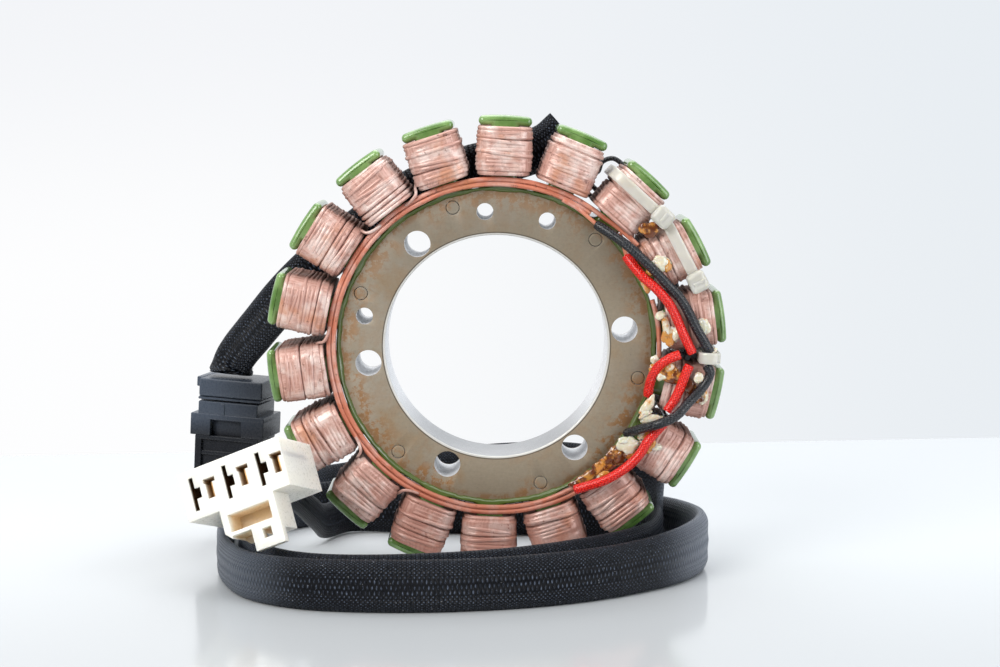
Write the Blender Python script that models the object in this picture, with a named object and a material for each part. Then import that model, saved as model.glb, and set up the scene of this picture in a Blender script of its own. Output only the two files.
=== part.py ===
"""Wound stator of an outer-rotor motor, with two flat braided leads and their connectors.

Metres, +Z up. The stator stands on its lowest pole with its axis along Y, and the leads lie on the
same surface. The parent empty stator_axis is on the stator's axis, halfway along its stack.
"""

import math

import bmesh
import bpy
import numpy as np
from mathutils import Matrix, Vector

MM = 0.001
GAP = 0.3 * MM
OVERRUN = 2.0 * MM

# Poles and laminated stack
POLE_COUNT = 18
FIRST_POLE_DEGREES = 87.7
STACK_DEPTH = 20.0 * MM
BORE_RADIUS = 29.75 * MM
BORE_CHAMFER = 0.4 * MM
YOKE_WIDTH = 12.25 * MM
TOOTH_WIDTH = 5.6 * MM
TOOTH_HEIGHT = 16.7 * MM
SHOE_WIDTH = 12.6 * MM
SHOE_THICKNESS = 2.0 * MM

# Holes through the yoke, at shares of its width and degrees round the axis
BOLT_HOLE_DIAMETER = 7.0 * MM
BOLT_CIRCLE_SHARE = 0.3878
BOLT_DEGREES = (7.5, 127.5, 187.5, 247.5, 307.5)
PIN_HOLE_DIAMETER = 4.5 * MM
PIN_CIRCLE_SHARE = 0.5184
PIN_DEGREES = (94.8, 68.0, 167.0)
RIVET_DIAMETER = 3.4 * MM
RIVET_CIRCLE_SHARE = 0.7388
RIVET_DEGREES = (47.3, 107.4, 158.5, 227.2, 287.8, 347.3)

# Insulating coat over the teeth and the rim of the yoke
COAT_WALL = 0.5 * MM
COAT_BEND = 0.5 * MM
COAT_LIP = 1.4 * MM

# Windings
TURN_COUNT = 12
COIL_FOOT = 2.8 * MM
COIL_TOP_GAP = 0.5 * MM
COIL_SIDE_GAP = 0.44 * MM
COIL_HEAD = 3.9 * MM
COIL_CORNER = 3.4 * MM
TURN_GROOVE = 0.35 * MM
OUTER_TURN_STEP = 0.7 * MM

# Jumper wires that run round between the yoke and the coils
JUMPER_DIAMETER = 1.2 * MM
JUMPER_START_DEGREES = 55.0
JUMPER_END_DEGREES = 300.0

# Splice sleeves over the front of the coils
SLEEVE_DIAMETER = 2.6 * MM
LEAD_WIRE_DIAMETER = 1.4 * MM
RESIN_RADIUS = 2.0 * MM
RESIN_THICKNESS = 1.5 * MM

# Cable ties
TIE_WIDTH = 3.0 * MM
TIE_THICKNESS = 1.0 * MM
TIE_HEAD_WIDTH = 5.0 * MM
TIE_HEAD_LENGTH = 4.6 * MM
TIE_HEAD_DEPTH = 4.2 * MM
TIE_HEAD_OVERHANG = 0.8 * MM

# Flat braided leads
LEAD_THICKNESS = 4.6 * MM
LEAD_A_WIDTH = 12.5 * MM
LEAD_B_WIDTH = 15.8 * MM

# Black connector, from its foot up
BLACK_WIDTH = 19.0 * MM
BLACK_DEPTH = 15.0 * MM
BLACK_BODY_HEIGHT = 18.0 * MM
BLACK_TAPER = 1.2 * MM
BLACK_COLLAR_WIDTH = 22.0 * MM
BLACK_COLLAR_HEIGHT = 6.6 * MM
BLACK_NECK_WIDTH = 18.0 * MM
BLACK_NECK_HEIGHT = 3.5 * MM
BLACK_CAP_HEIGHT = 6.5 * MM
BLACK_CAP_WIDTH = 20.4 * MM
BLACK_PANEL_DEPTH = 0.7 * MM
BLACK_PANEL_MARGIN = 2.6 * MM
BLACK_WINDOW_DEPTH = 3.0 * MM
BLACK_BEVEL = 0.7 * MM
BLACK_PLACE = (-75.8 * MM, 28.0 * MM, 13.8 * MM)
BLACK_ROLL_DEGREES = 3.0
BLACK_YAW_DEGREES = -13.0

# White connector, a three-way housing with a latch under it
WHITE_WIDTH = 30.0 * MM
WHITE_HEIGHT = 13.0 * MM
WHITE_DEPTH = 19.0 * MM
CONTACT_PITCH = 9.9 * MM
CONTACT_MARGIN = 2.6 * MM
CAVITY_DEPTH = 14.0 * MM
SLOT_WIDTH = 1.3 * MM
SLOT_HEIGHT = 8.9 * MM
NOTCH_WIDTH = 1.5 * MM
NOTCH_HEIGHT = 2.8 * MM
POCKET_WALL = 1.6 * MM
POCKET_WIDTH = 2.1 * MM
POCKET_HEIGHT = 5.0 * MM
POCKET_LIP = 0.9 * MM
CONTACT_THICKNESS = 0.7 * MM
SHROUD_LEFT = 9.1 * MM
SHROUD_WIDTH = 15.8 * MM
SHROUD_HEIGHT = 9.3 * MM
SHROUD_DEPTH = 9.0 * MM
SHROUD_WALL = 1.8 * MM
SHROUD_CORNER = 3.0 * MM
LEVER_WIDTH = 8.4 * MM
LEVER_DROP = 4.0 * MM
LEVER_THICKNESS = 2.2 * MM
LEVER_HOLE = 2.6 * MM
WHITE_PLACE = (-82.59 * MM, -31.0 * MM, 30.46 * MM)
WHITE_TURN_DEGREES = (-15.2, -23.1, -21.6)

# Sizes that follow from the ones above
POLE_PITCH = 2 * math.pi / POLE_COUNT
YOKE_RADIUS = BORE_RADIUS + YOKE_WIDTH
SHOE_RADIUS = YOKE_RADIUS + TOOTH_HEIGHT + SHOE_THICKNESS
BOLT_CIRCLE_RADIUS = BORE_RADIUS + YOKE_WIDTH * BOLT_CIRCLE_SHARE
PIN_CIRCLE_RADIUS = BORE_RADIUS + YOKE_WIDTH * PIN_CIRCLE_SHARE
RIVET_CIRCLE_RADIUS = BORE_RADIUS + YOKE_WIDTH * RIVET_CIRCLE_SHARE
COAT_OUT = GAP + COAT_WALL
PLATE_FACE = STACK_DEPTH / 2 + COAT_OUT
TIP_RADIUS = SHOE_RADIUS + COAT_OUT
COIL_INNER_RADIUS = YOKE_RADIUS + COAT_OUT + COIL_FOOT
COIL_OUTER_RADIUS = SHOE_RADIUS - SHOE_THICKNESS - COAT_OUT - COIL_TOP_GAP
COIL_REACH = COIL_OUTER_RADIUS - COIL_INNER_RADIUS
COIL_HALF_WIDTH = COIL_INNER_RADIUS * math.tan(POLE_PITCH / 2) - COIL_SIDE_GAP
COIL_FACE = PLATE_FACE + GAP + COIL_HEAD
JUMPER_RADIUS = COIL_INNER_RADIUS - GAP - JUMPER_DIAMETER / 2
JUMPER_LAY = PLATE_FACE + GAP + JUMPER_DIAMETER / 2
SLEEVE_LOW = PLATE_FACE + GAP + SLEEVE_DIAMETER / 2
SLEEVE_HIGH = COIL_FACE + GAP + SLEEVE_DIAMETER / 2
REAR_LAY = COIL_FACE + GAP + LEAD_WIRE_DIAMETER / 2

# Each sleeve's way over the coils: degrees round the axis, share of the coils' reach, and share of the
# rise from the plate to the coils' face
RED_SLEEVE_SHARES = (
    ((35.4, -0.30, 0.10), (26.7, -0.22, 0.80), (20.3, -0.03, 1.05), (14.3, 0.14, 1.05),
     (4.7, 0.33, 1.05), (-1.2, 0.53, 1.05)),
    ((-1.6, 0.25, 1.05), (-3.2, 0.00, 1.05), (-6.5, -0.22, 0.85), (-11.2, -0.31, 0.50),
     (-17.8, -0.28, 0.10)),
    ((-4.7, 0.48, 1.05), (-6.9, 0.42, 1.05), (-11.6, 0.35, 1.05), (-16.6, 0.28, 1.05),
     (-20.1, 0.21, 1.05)),
    ((-23.6, 0.27, 1.05), (-30.8, 0.13, 1.05), (-36.7, 0.14, 1.05), (-43.3, 0.09, 1.05),
     (-50.6, -0.02, 1.05), (-57.2, -0.15, 0.90), (-61.1, -0.20, 0.75)),
)
BLACK_SLEEVE_SHARES = (
    ((51.2, -0.30, 0.10), (44.6, -0.23, 0.62), (38.1, -0.13, 1.05), (29.1, 0.02, 1.05),
     (22.3, 0.18, 1.05), (14.6, 0.42, 1.05), (5.2, 0.66, 1.05), (-0.9, 0.93, 1.05)),
    ((-4.4, 0.86, 1.05), (-6.4, 0.95, 1.05), (-9.9, 0.86, 1.08), (-15.3, 0.60, 1.40),
     (-20.3, 0.40, 1.76), (-24.7, 0.10, 1.76), (-28.6, -0.13, 1.08), (-33.8, -0.34, 0.10)),
)

# Each lead wire's way: degrees, share of the coils' reach, share of the way from the front face to the
# rear lay, where 1 lies against the coils' rear
LEAD_A_WIRE_SHARES = (
    ((-0.95, 0.91, -1.00), (-0.95, 0.91, 0.80), (-0.2, 0.90, 1.02), (3.5, 0.80, 1.02), (7.7, 0.64, 1.00),
     (18.0, 0.54, 1.00), (27.7, 0.54, 1.00), (38.0, 0.58, 1.00), (44.0, 0.76, 1.00), (49.0, 1.04, 1.00),
     (53.0, 1.13, 1.00), (56.8, 1.13, 1.00), (58.8, 0.92, 1.00), (58.4, 0.68, 1.00), (59.8, 0.58, 1.00),
     (63.4, 0.74, 1.00), (67.5, 1.00, 1.00)),
    ((-1.9, 0.575, -1.00), (-2.3, 0.575, 0.80), (-1.4, 0.57, 1.02), (2.5, 0.50, 1.02), (7.7, 0.40, 1.00),
     (27.7, 0.31, 1.00), (47.7, 0.28, 1.00), (57.0, 0.32, 1.00), (63.0, 0.50, 1.00), (68.5, 0.80, 1.00)),
    ((-2.3, 0.285, -1.00), (-2.3, 0.285, 0.80), (-1.4, 0.28, 1.02), (2.5, 0.22, 1.02), (7.7, 0.16, 1.00),
     (27.7, 0.09, 1.00), (47.7, 0.08, 1.00), (57.0, 0.12, 1.00), (63.0, 0.28, 1.00), (69.5, 0.60, 1.00)),
)
LEAD_B_WIRE_SHARES = (
    ((-3.4, 0.91, -1.00), (-3.4, 0.91, 0.80), (-4.4, 0.90, 1.02), (-8.0, 0.84, 1.02), (-14.0, 0.72, 1.00),
     (-26.0, 0.42, 1.00), (-32.5, 0.18, 1.00), (-36.6, 0.02, 1.00)),
    ((-2.8, 0.43, -1.00), (-2.3, 0.43, 0.00), (-2.3, 0.43, 0.80), (-3.2, 0.42, 1.02), (-7.5, 0.38, 1.02),
     (-14.0, 0.26, 1.00), (-22.3, 0.06, 1.00), (-30.0, -0.15, 1.00), (-37.0, -0.33, 1.00),
     (-41.7, -0.42, 1.00)),
    ((-22.3, 0.26, -1.00), (-22.3, 0.26, 0.80), (-23.0, 0.25, 1.02), (-28.0, 0.10, 1.02),
     (-34.0, -0.07, 1.00), (-38.9, -0.22, 1.00)),
)

# Resin left on the splices: degrees, share of the coils' reach
RESIN_SHARES = ((26.0, 0.36), (-27.4, 0.52), (7.6, 0.96), (-49.4, 0.34))

# Route of lead A, whose broad side lies against the rear of the coils: x, y, z in millimetres
LEAD_A_ROUTE = (
    (19.0, 19.3, 118.6), (14.0, 19.2, 114.4), (2.4, 18.3, 110.3), (-7.4, 17.9, 108.2), (-23.2, 17.9, 101.6),
    (-36.1, 17.9, 92.2), (-51.0, 17.9, 80.4), (-60.7, 19.3, 70.6), (-68.6, 23.2, 61.4), (-73.4, 26.2, 55.6),
    (-75.5, 27.6, 52.2), (-75.8, 27.7, 49.3),
)

# Route of lead B, standing on its edge on the table: x, y, height of its middle, share of its full width
LEAD_B_ROUTE = (
    (33.0, 18.8, 33.0, 0.55), (42.0, 18.9, 20.6, 0.76), (44.6, 12.6, 9.2, 0.85), (43.6, 0.0, 7.1, 0.86),
    (36.6, -17.4, 7.1, 0.86), (3.6, -41.6, 6.9, 0.85), (-36.0, -47.4, 6.6, 0.82), (-53.2, -40.2, 6.4, 0.79),
    (-63.8, -26.0, 6.4, 0.79), (-68.2, -8.0, 6.5, 0.80), (-68.4, 32.0, 6.6, 0.82), (-59.6, 48.0, 6.6, 0.82),
    (-18.0, 66.0, 6.6, 0.82), (30.0, 87.0, 6.6, 0.82), (39.0, 106.0, 6.6, 0.82), (24.0, 126.0, 6.6, 0.82),
    (0.0, 124.0, 6.6, 0.82), (-54.0, 81.0, 6.6, 0.82), (-72.6, 56.0, 6.6, 0.82), (-76.6, 32.0, 6.6, 0.82),
    (-75.4, 10.0, 6.6, 0.82), (-74.0, -8.0, 6.5, 0.80), (-71.0, -24.6, 6.4, 0.79), (-63.0, -41.4, 6.4, 0.79),
    (-49.0, -51.4, 6.6, 0.82), (-28.0, -55.0, 6.8, 0.84), (-6.0, -53.4, 6.8, 0.84), (15.0, -47.4, 6.9, 0.86),
    (34.0, -36.4, 7.0, 0.87), (49.2, -21.2, 7.6, 0.94), (55.6, -5.0, 8.0, 0.99), (51.4, 13.0, 7.8, 0.96),
    (40.0, 31.0, 7.0, 0.87), (18.0, 36.8, 6.6, 0.82), (-29.0, 42.0, 6.4, 0.79), (-42.6, 42.0, 6.2, 0.74),
    (-49.4, 29.0, 6.2, 0.64), (-51.4, 13.4, 11.6, 0.56), (-56.38, -9.23, 22.24, 0.52), (-60.53, -19.71, 25.31, 0.52),
)


def clear_scene():
    for thing in list(bpy.data.objects):
        bpy.data.objects.remove(thing, do_unlink=True)


def new_material(name, colour, roughness, metallic):
    material = bpy.data.materials.new(name)
    material.use_nodes = True
    shader = material.node_tree.nodes["Principled BSDF"]
    shader.inputs["Base Color"].default_value = (*colour, 1.0)
    shader.inputs["Roughness"].default_value = roughness
    shader.inputs["Metallic"].default_value = metallic
    material.diffuse_color = (*colour, 1.0)
    return material


def link(name, data, material=None, parent=None, cutter=False):
    thing = bpy.data.objects.new(name, data)
    bpy.context.scene.collection.objects.link(thing)
    if material is not None:
        data.materials.clear()
        data.materials.append(material)
    thing.parent = parent
    if cutter:
        thing.hide_render = True
        thing.display_type = "WIRE"
    return thing


def boolean(target, other, operation):
    modifier = target.modifiers.new(operation.title(), "BOOLEAN")
    modifier.operation = operation
    modifier.solver = "EXACT"
    modifier.object = other


def bevel(target, width, segments=1):
    modifier = target.modifiers.new("Bevel", "BEVEL")
    modifier.width = width
    modifier.segments = segments
    modifier.limit_method = "ANGLE"
    modifier.use_clamp_overlap = True


def finish(mesh, name):
    bmesh.ops.recalc_face_normals(mesh, faces=mesh.faces)
    data = bpy.data.meshes.new(name)
    mesh.to_mesh(data)
    mesh.free()
    data.shade_smooth()
    data.set_sharp_from_angle(angle=math.radians(35))
    return data


def polar(radius, angle, y):
    return Vector((radius * math.cos(angle), y, radius * math.sin(angle)))


def pole_angle(index):
    return math.radians(FIRST_POLE_DEGREES) - POLE_PITCH * index


def ring(mesh, points):
    return [mesh.verts.new(point) for point in points]


def strip(mesh, first, second):
    for index, vertex in enumerate(first):
        after = (index + 1) % len(first)
        mesh.faces.new((vertex, first[after], second[after], second[index]))


def prism(mesh, outline, low, high):
    """A solid between two planes across Y, from an outline of (x, z) points."""
    near = ring(mesh, [(x, low, z) for x, z in outline])
    far = ring(mesh, [(x, high, z) for x, z in outline])
    strip(mesh, near, far)
    mesh.faces.new(near)
    mesh.faces.new(far)


def box(mesh, low, high):
    outline = ((low[0], low[2]), (high[0], low[2]), (high[0], high[2]), (low[0], high[2]))
    prism(mesh, outline, low[1], high[1])


def cylinder(mesh, centre, radius, low, high, sides):
    angles = [2 * math.pi * step / sides for step in range(sides)]
    outline = [(centre[0] + radius * math.cos(a), centre[1] + radius * math.sin(a)) for a in angles]
    prism(mesh, outline, low, high)


# Outline of the poles

def half_pole(offset, rounded):
    """Half a pole's outline, (radial, across) from the slot's middle to the pole's axis, grown by offset."""
    yoke = YOKE_RADIUS + offset
    half_tooth = TOOTH_WIDTH / 2 + offset
    under = SHOE_RADIUS - SHOE_THICKNESS - offset
    top = SHOE_RADIUS + offset
    half_shoe = SHOE_WIDTH / 2 + offset
    corner = (top - under) / 3 if rounded else 0
    points = [
        (yoke * math.cos(POLE_PITCH / 2), -yoke * math.sin(POLE_PITCH / 2)),
        (math.sqrt(yoke**2 - half_tooth**2), -half_tooth),
        (math.sqrt(under**2 - half_tooth**2), -half_tooth),
        (math.sqrt(under**2 - half_shoe**2), -(half_shoe - corner)),
    ]
    if rounded:
        points.append(((under + top) / 2 - half_shoe**2 / top / 2, -half_shoe))
    points.append((math.sqrt(top**2 - (half_shoe - corner) ** 2), -(half_shoe - corner)))
    points.append((top, 0))
    return points


def pole_outline(offset, rounded):
    """A pole's outline from one slot's middle up to the next one, which belongs to the next pole."""
    half = half_pole(offset, rounded)
    return half + [(radial, -across) for radial, across in half[-2:0:-1]]


def ring_outline(offset, rounded):
    """The whole ring of poles as (x, z) points round the axis, counter-clockwise."""
    points = []
    for index in range(POLE_COUNT):
        angle = pole_angle(-index)
        for radial, across in pole_outline(offset, rounded):
            points.append((
                radial * math.cos(angle) - across * math.sin(angle),
                radial * math.sin(angle) + across * math.cos(angle),
            ))
    return points


# Laminated stack with its bore and holes

def turned(mesh, profile, sides):
    """A solid turned round the Y axis from (radius, y) points between its two end faces."""
    rings = []
    for radius, y in profile:
        rings.append(ring(mesh, [polar(radius, 2 * math.pi * step / sides, y) for step in range(sides)]))
    for first, second in zip(rings, rings[1:]):
        strip(mesh, first, second)
    mesh.faces.new(rings[0])
    mesh.faces.new(rings[-1])


def build_stack(axis, material):
    mesh = bmesh.new()
    prism(mesh, ring_outline(0, False), -STACK_DEPTH / 2, STACK_DEPTH / 2)
    stack = link("core_stack", finish(mesh, "core_stack"), material, axis)
    mesh = bmesh.new()
    face = STACK_DEPTH / 2
    wide = BORE_RADIUS + BORE_CHAMFER
    chamfered = (
        (wide, -face - OVERRUN), (wide, -face), (BORE_RADIUS, -face + BORE_CHAMFER),
        (BORE_RADIUS, face - BORE_CHAMFER), (wide, face), (wide, face + OVERRUN),
    )
    turned(mesh, chamfered, POLE_COUNT * 3)
    holes = (
        (BOLT_DEGREES, BOLT_CIRCLE_RADIUS, BOLT_HOLE_DIAMETER / 2, 16),
        (PIN_DEGREES, PIN_CIRCLE_RADIUS, PIN_HOLE_DIAMETER / 2, 12),
        (RIVET_DEGREES, RIVET_CIRCLE_RADIUS, RIVET_DIAMETER / 2 + GAP, 12),
    )
    for degrees, circle, radius, sides in holes:
        for degree in degrees:
            place = polar(circle, math.radians(degree), 0)
            cylinder(mesh, (place.x, place.z), radius, -face - OVERRUN, face + OVERRUN, sides)
    boolean(stack, link("stack_cuts", finish(mesh, "stack_cuts"), None, axis, cutter=True), "DIFFERENCE")


def build_rivets(axis, material):
    for number, degree in enumerate(RIVET_DEGREES, 1):
        mesh = bmesh.new()
        cylinder(mesh, (0, 0), RIVET_DIAMETER / 2, -STACK_DEPTH / 2, STACK_DEPTH / 2, 12)
        rivet = link(f"stack_rivet_{number}", finish(mesh, "rivet"), material, axis)
        rivet.location = polar(RIVET_CIRCLE_RADIUS, math.radians(degree), 0)


# Coat over the teeth, open towards the bore where the yoke enters it

def coat_cap(mesh, outline, circle, per_pole, per_arc):
    """Flat sectors between the outline and the circle inside it, one for each pole."""
    for index in range(POLE_COUNT):
        outer = [outline[(index * per_pole + step) % len(outline)] for step in range(per_pole + 1)]
        inner = [circle[(index * per_arc + step) % len(circle)] for step in range(per_arc + 1)]
        mesh.faces.new(outer + inner[::-1])


def build_coat(axis, material):
    mesh = bmesh.new()
    outside = STACK_DEPTH / 2 + COAT_OUT
    inside = STACK_DEPTH / 2 + GAP
    inner_radius = YOKE_RADIUS - COAT_LIP
    full = ring_outline(COAT_OUT, True)
    inset = ring_outline(COAT_OUT - COAT_BEND, True)
    cavity = ring_outline(GAP, False)
    per_full = len(full) // POLE_COUNT
    per_cavity = len(cavity) // POLE_COUNT
    per_arc = 2
    start = pole_angle(0) - POLE_PITCH / 2
    arc_angles = [start + POLE_PITCH * step / per_arc for step in range(POLE_COUNT * per_arc)]
    outer_rings = []
    for y, points in ((-outside, inset), (-outside + COAT_BEND, full), (outside - COAT_BEND, full), (outside, inset)):
        outer_rings.append(ring(mesh, [(x, y, z) for x, z in points]))
    for first, second in zip(outer_rings, outer_rings[1:]):
        strip(mesh, first, second)
    hollow = [ring(mesh, [(x, y, z) for x, z in cavity]) for y in (-inside, inside)]
    strip(mesh, hollow[0], hollow[1])
    for sign, face_ring, hollow_ring in ((-1, outer_rings[0], hollow[0]), (1, outer_rings[-1], hollow[1])):
        face_circle = ring(mesh, [polar(inner_radius, angle, sign * outside) for angle in arc_angles])
        hollow_circle = ring(mesh, [polar(inner_radius, angle, sign * inside) for angle in arc_angles])
        coat_cap(mesh, face_ring, face_circle, per_full, per_arc)
        coat_cap(mesh, hollow_ring, hollow_circle, per_cavity, per_arc)
        strip(mesh, face_circle, hollow_circle)
    link("insulation_coating", finish(mesh, "insulation_coating"), material, axis)


# One coil of turns laid side by side along its tooth, which every pole shares

def rounded_loop(half_y, half_z, corner):
    """(y, z) points of a rectangle with its corners cut, two points to a corner."""
    corner = min(corner, half_y, half_z)
    quarter = [(half_y, half_z - corner), (half_y - corner, half_z)]
    left = [(-y, z) for y, z in reversed(quarter)]
    upper = quarter + left
    return upper + [(-y, -z) for y, z in upper]


def coil_mesh():
    mesh = bmesh.new()
    rows = 2 * TURN_COUNT
    rings = []
    for row in range(rows + 1):
        radial = COIL_INNER_RADIUS + COIL_REACH * row / rows
        groove = TURN_GROOVE if row % 2 == 0 else 0
        turns_left = (rows - row) // 2
        step = OUTER_TURN_STEP * max(0, 2 - turns_left)
        loop = rounded_loop(COIL_FACE - groove - step / 2, COIL_HALF_WIDTH - groove - step, COIL_CORNER)
        rings.append(ring(mesh, [(radial, y, z) for y, z in loop]))
    for first, second in zip(rings, rings[1:]):
        strip(mesh, first, second)
    half_tooth = TOOTH_WIDTH / 2 + COAT_OUT + GAP
    hole = rounded_loop(PLATE_FACE + GAP, half_tooth, COAT_BEND)
    near = ring(mesh, [(COIL_INNER_RADIUS, y, z) for y, z in hole])
    far = ring(mesh, [(COIL_OUTER_RADIUS, y, z) for y, z in hole])
    strip(mesh, near, far)
    strip(mesh, rings[0], near)
    strip(mesh, rings[-1], far)
    return finish(mesh, "coil")


def build_coils(axis, materials):
    shared = coil_mesh()
    for index in range(POLE_COUNT):
        coil = link(f"coil_{index + 1:02d}", shared if index == 0 else shared.copy(), materials, axis)
        coil.rotation_euler = (0, -pole_angle(index), 0)


# Wires and sleeves

def smooth_route(points, parts):
    """Points along a smooth curve through the route, each interval divided into so many parts."""
    route = np.array(points, float)
    padded = np.vstack([2 * route[0] - route[1], route, 2 * route[-1] - route[-2]])
    found = []
    for index in range(1, len(padded) - 2):
        before, start, end, after = padded[index - 1:index + 3]
        spans = [max(float(np.linalg.norm(b[:3] - a[:3])), 1e-9) ** 0.5
                 for a, b in ((before, start), (start, end), (end, after))]
        leave = (start - before) / spans[0] - (end - before) / (spans[0] + spans[1]) + (end - start) / spans[1]
        arrive = (end - start) / spans[1] - (after - start) / (spans[1] + spans[2]) + (after - end) / spans[2]
        leave, arrive = leave * spans[1], arrive * spans[1]
        for part in range(parts):
            t = part / parts
            found.append(
                (2 * t**3 - 3 * t**2 + 1) * start + (t**3 - 2 * t**2 + t) * leave
                + (3 * t**2 - 2 * t**3) * end + (t**3 - t**2) * arrive
            )
    found.append(route[-1])
    return found


def tube(name, points, diameter, material, parent=None, resolution=1, flat=0, shares=None):
    """A curve object along the points: round, or a flat band whose broad side stands upright."""
    curve = bpy.data.curves.new(name, "CURVE")
    curve.dimensions = "3D"
    curve.twist_mode = "Z_UP"
    curve.bevel_depth = diameter / 2
    curve.extrude = flat
    curve.bevel_resolution = resolution
    curve.use_fill_caps = True
    spline = curve.splines.new("POLY")
    spline.points.add(len(points) - 1)
    for index, point in enumerate(points):
        spline.points[index].co = (*point[:3], 1)
        spline.points[index].radius = shares[index] if shares else 1
    return link(name, curve, material, parent)


def build_jumpers(axis, material):
    steps = 24
    for number, name in enumerate(("jumper_wire_outer", "jumper_wire_inner")):
        radius = JUMPER_RADIUS - number * (JUMPER_DIAMETER + GAP)
        sweep = JUMPER_END_DEGREES - JUMPER_START_DEGREES
        degrees = [JUMPER_START_DEGREES + sweep * step / steps for step in range(steps + 1)]
        points = [polar(radius, math.radians(degree), -JUMPER_LAY) for degree in degrees]
        tube(name, points, JUMPER_DIAMETER, material, axis)


def reach_radius(share):
    return COIL_INNER_RADIUS + COIL_REACH * share


def sleeve_points(shares):
    points = []
    for degree, reach, rise in shares:
        y = -(SLEEVE_LOW + (SLEEVE_HIGH - SLEEVE_LOW) * rise)
        points.append(polar(reach_radius(reach), math.radians(degree), y))
    return smooth_route(points, 2)


def wire_points(shares):
    points = []
    for degree, reach, way in shares:
        front = way < 0
        y = (COIL_FACE + GAP / 2) * way if front else REAR_LAY * way
        points.append(polar(reach_radius(reach), math.radians(degree), y))
    return smooth_route(points, 2)


def build_wiring(axis, red, black, wire):
    for number, shares in enumerate(RED_SLEEVE_SHARES, 1):
        tube(f"red_sleeve_{number}", sleeve_points(shares), SLEEVE_DIAMETER, red, axis, 2)
    for number, shares in enumerate(BLACK_SLEEVE_SHARES, 1):
        tube(f"black_sleeve_{number}", sleeve_points(shares), SLEEVE_DIAMETER, black, axis, 2)
    for lead, routes in (("a", LEAD_A_WIRE_SHARES), ("b", LEAD_B_WIRE_SHARES)):
        for number, shares in enumerate(routes, 1):
            tube(f"lead_{lead}_wire_{number}", wire_points(shares), LEAD_WIRE_DIAMETER, wire, axis)


def build_resin(axis, material):
    for number, (degree, reach) in enumerate(RESIN_SHARES, 1):
        mesh = bmesh.new()
        bmesh.ops.create_icosphere(mesh, subdivisions=1, radius=1)
        scale = (RESIN_RADIUS, RESIN_THICKNESS / 2, RESIN_RADIUS)
        bmesh.ops.scale(mesh, vec=scale, verts=mesh.verts)
        blob = link(f"splice_resin_{number}", finish(mesh, "resin"), material, axis)
        blob.location = polar(reach_radius(reach), math.radians(degree), -(COIL_FACE + GAP + RESIN_THICKNESS / 2))
        blob.rotation_euler = (0, -math.radians(degree), 0)


# Cable ties: a strap round a coil, and one round the wires in a slot

def strap_points(loop, grow):
    """(along Y, to the side) points of the strap's loop, grown by its thickness."""
    low_y, high_y, low_side, high_side = loop
    corner = (high_side - low_side) / 8 + grow
    outline = rounded_loop((high_y - low_y) / 2 + grow, (high_side - low_side) / 2 + grow, corner)
    return [(y + (low_y + high_y) / 2, side + (low_side + high_side) / 2) for y, side in outline]


def build_tie(name, axis, material, angle, loop, place, head_end, middle):
    """A strap in the plane of Y and one side, which place maps to local axes, with its head at one end in Y."""
    mesh = bmesh.new()
    rings = []
    for grow in (0, TIE_THICKNESS):
        for width in (-TIE_WIDTH / 2, TIE_WIDTH / 2):
            rings.append(ring(mesh, [place(y, side, width) for y, side in strap_points(loop, grow)]))
    inner_low, inner_high, outer_low, outer_high = rings
    strip(mesh, inner_low, inner_high)
    strip(mesh, outer_low, outer_high)
    strip(mesh, inner_low, outer_low)
    strip(mesh, inner_high, outer_high)
    strap = link(name, finish(mesh, name), material, axis)
    foot = head_end * (abs(loop[0 if head_end < 0 else 1]) + TIE_THICKNESS / 4)
    corners = [
        place(foot, middle - TIE_HEAD_LENGTH / 2, -TIE_HEAD_WIDTH / 2),
        place(foot + head_end * TIE_HEAD_DEPTH, middle + TIE_HEAD_LENGTH / 2, TIE_HEAD_WIDTH / 2),
    ]
    mesh = bmesh.new()
    box(mesh, [min(pair) for pair in zip(*corners)], [max(pair) for pair in zip(*corners)])
    head = link(name + "_head", finish(mesh, name + "_head"), None, axis, cutter=True)
    for thing in (strap, head):
        thing.rotation_euler = (0, -angle, 0)
    boolean(strap, head, "UNION")


def build_ties(axis, material):
    reach = COIL_OUTER_RADIUS - TIE_WIDTH / 2 - TURN_GROOVE * 2
    side = COIL_HALF_WIDTH + GAP
    rear = COIL_FACE + 2 * GAP + LEAD_WIRE_DIAMETER
    loop = (-(COIL_FACE + GAP), rear, -side, side)
    head_middle = TIE_HEAD_LENGTH / 2 - side - TIE_THICKNESS - TIE_HEAD_OVERHANG
    for number, index in ((1, 2), (2, 3)):
        build_tie(
            f"cable_tie_{number}", axis, material, pole_angle(index), loop,
            lambda y, across, width: (reach + width, y, across), -1, head_middle,
        )
    bundle = reach_radius(LEAD_A_WIRE_SHARES[0][0][1])
    half_bundle = SLEEVE_DIAMETER / 2 + 2 * GAP
    loop = (-(SLEEVE_HIGH + SLEEVE_DIAMETER / 2 + 2 * GAP), rear, bundle - half_bundle, bundle + half_bundle)
    build_tie(
        "cable_tie_3", axis, material, pole_angle(4) - POLE_PITCH / 2, loop,
        lambda y, radial, width: (radial, y, width), 1, bundle,
    )


# Connectors

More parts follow.
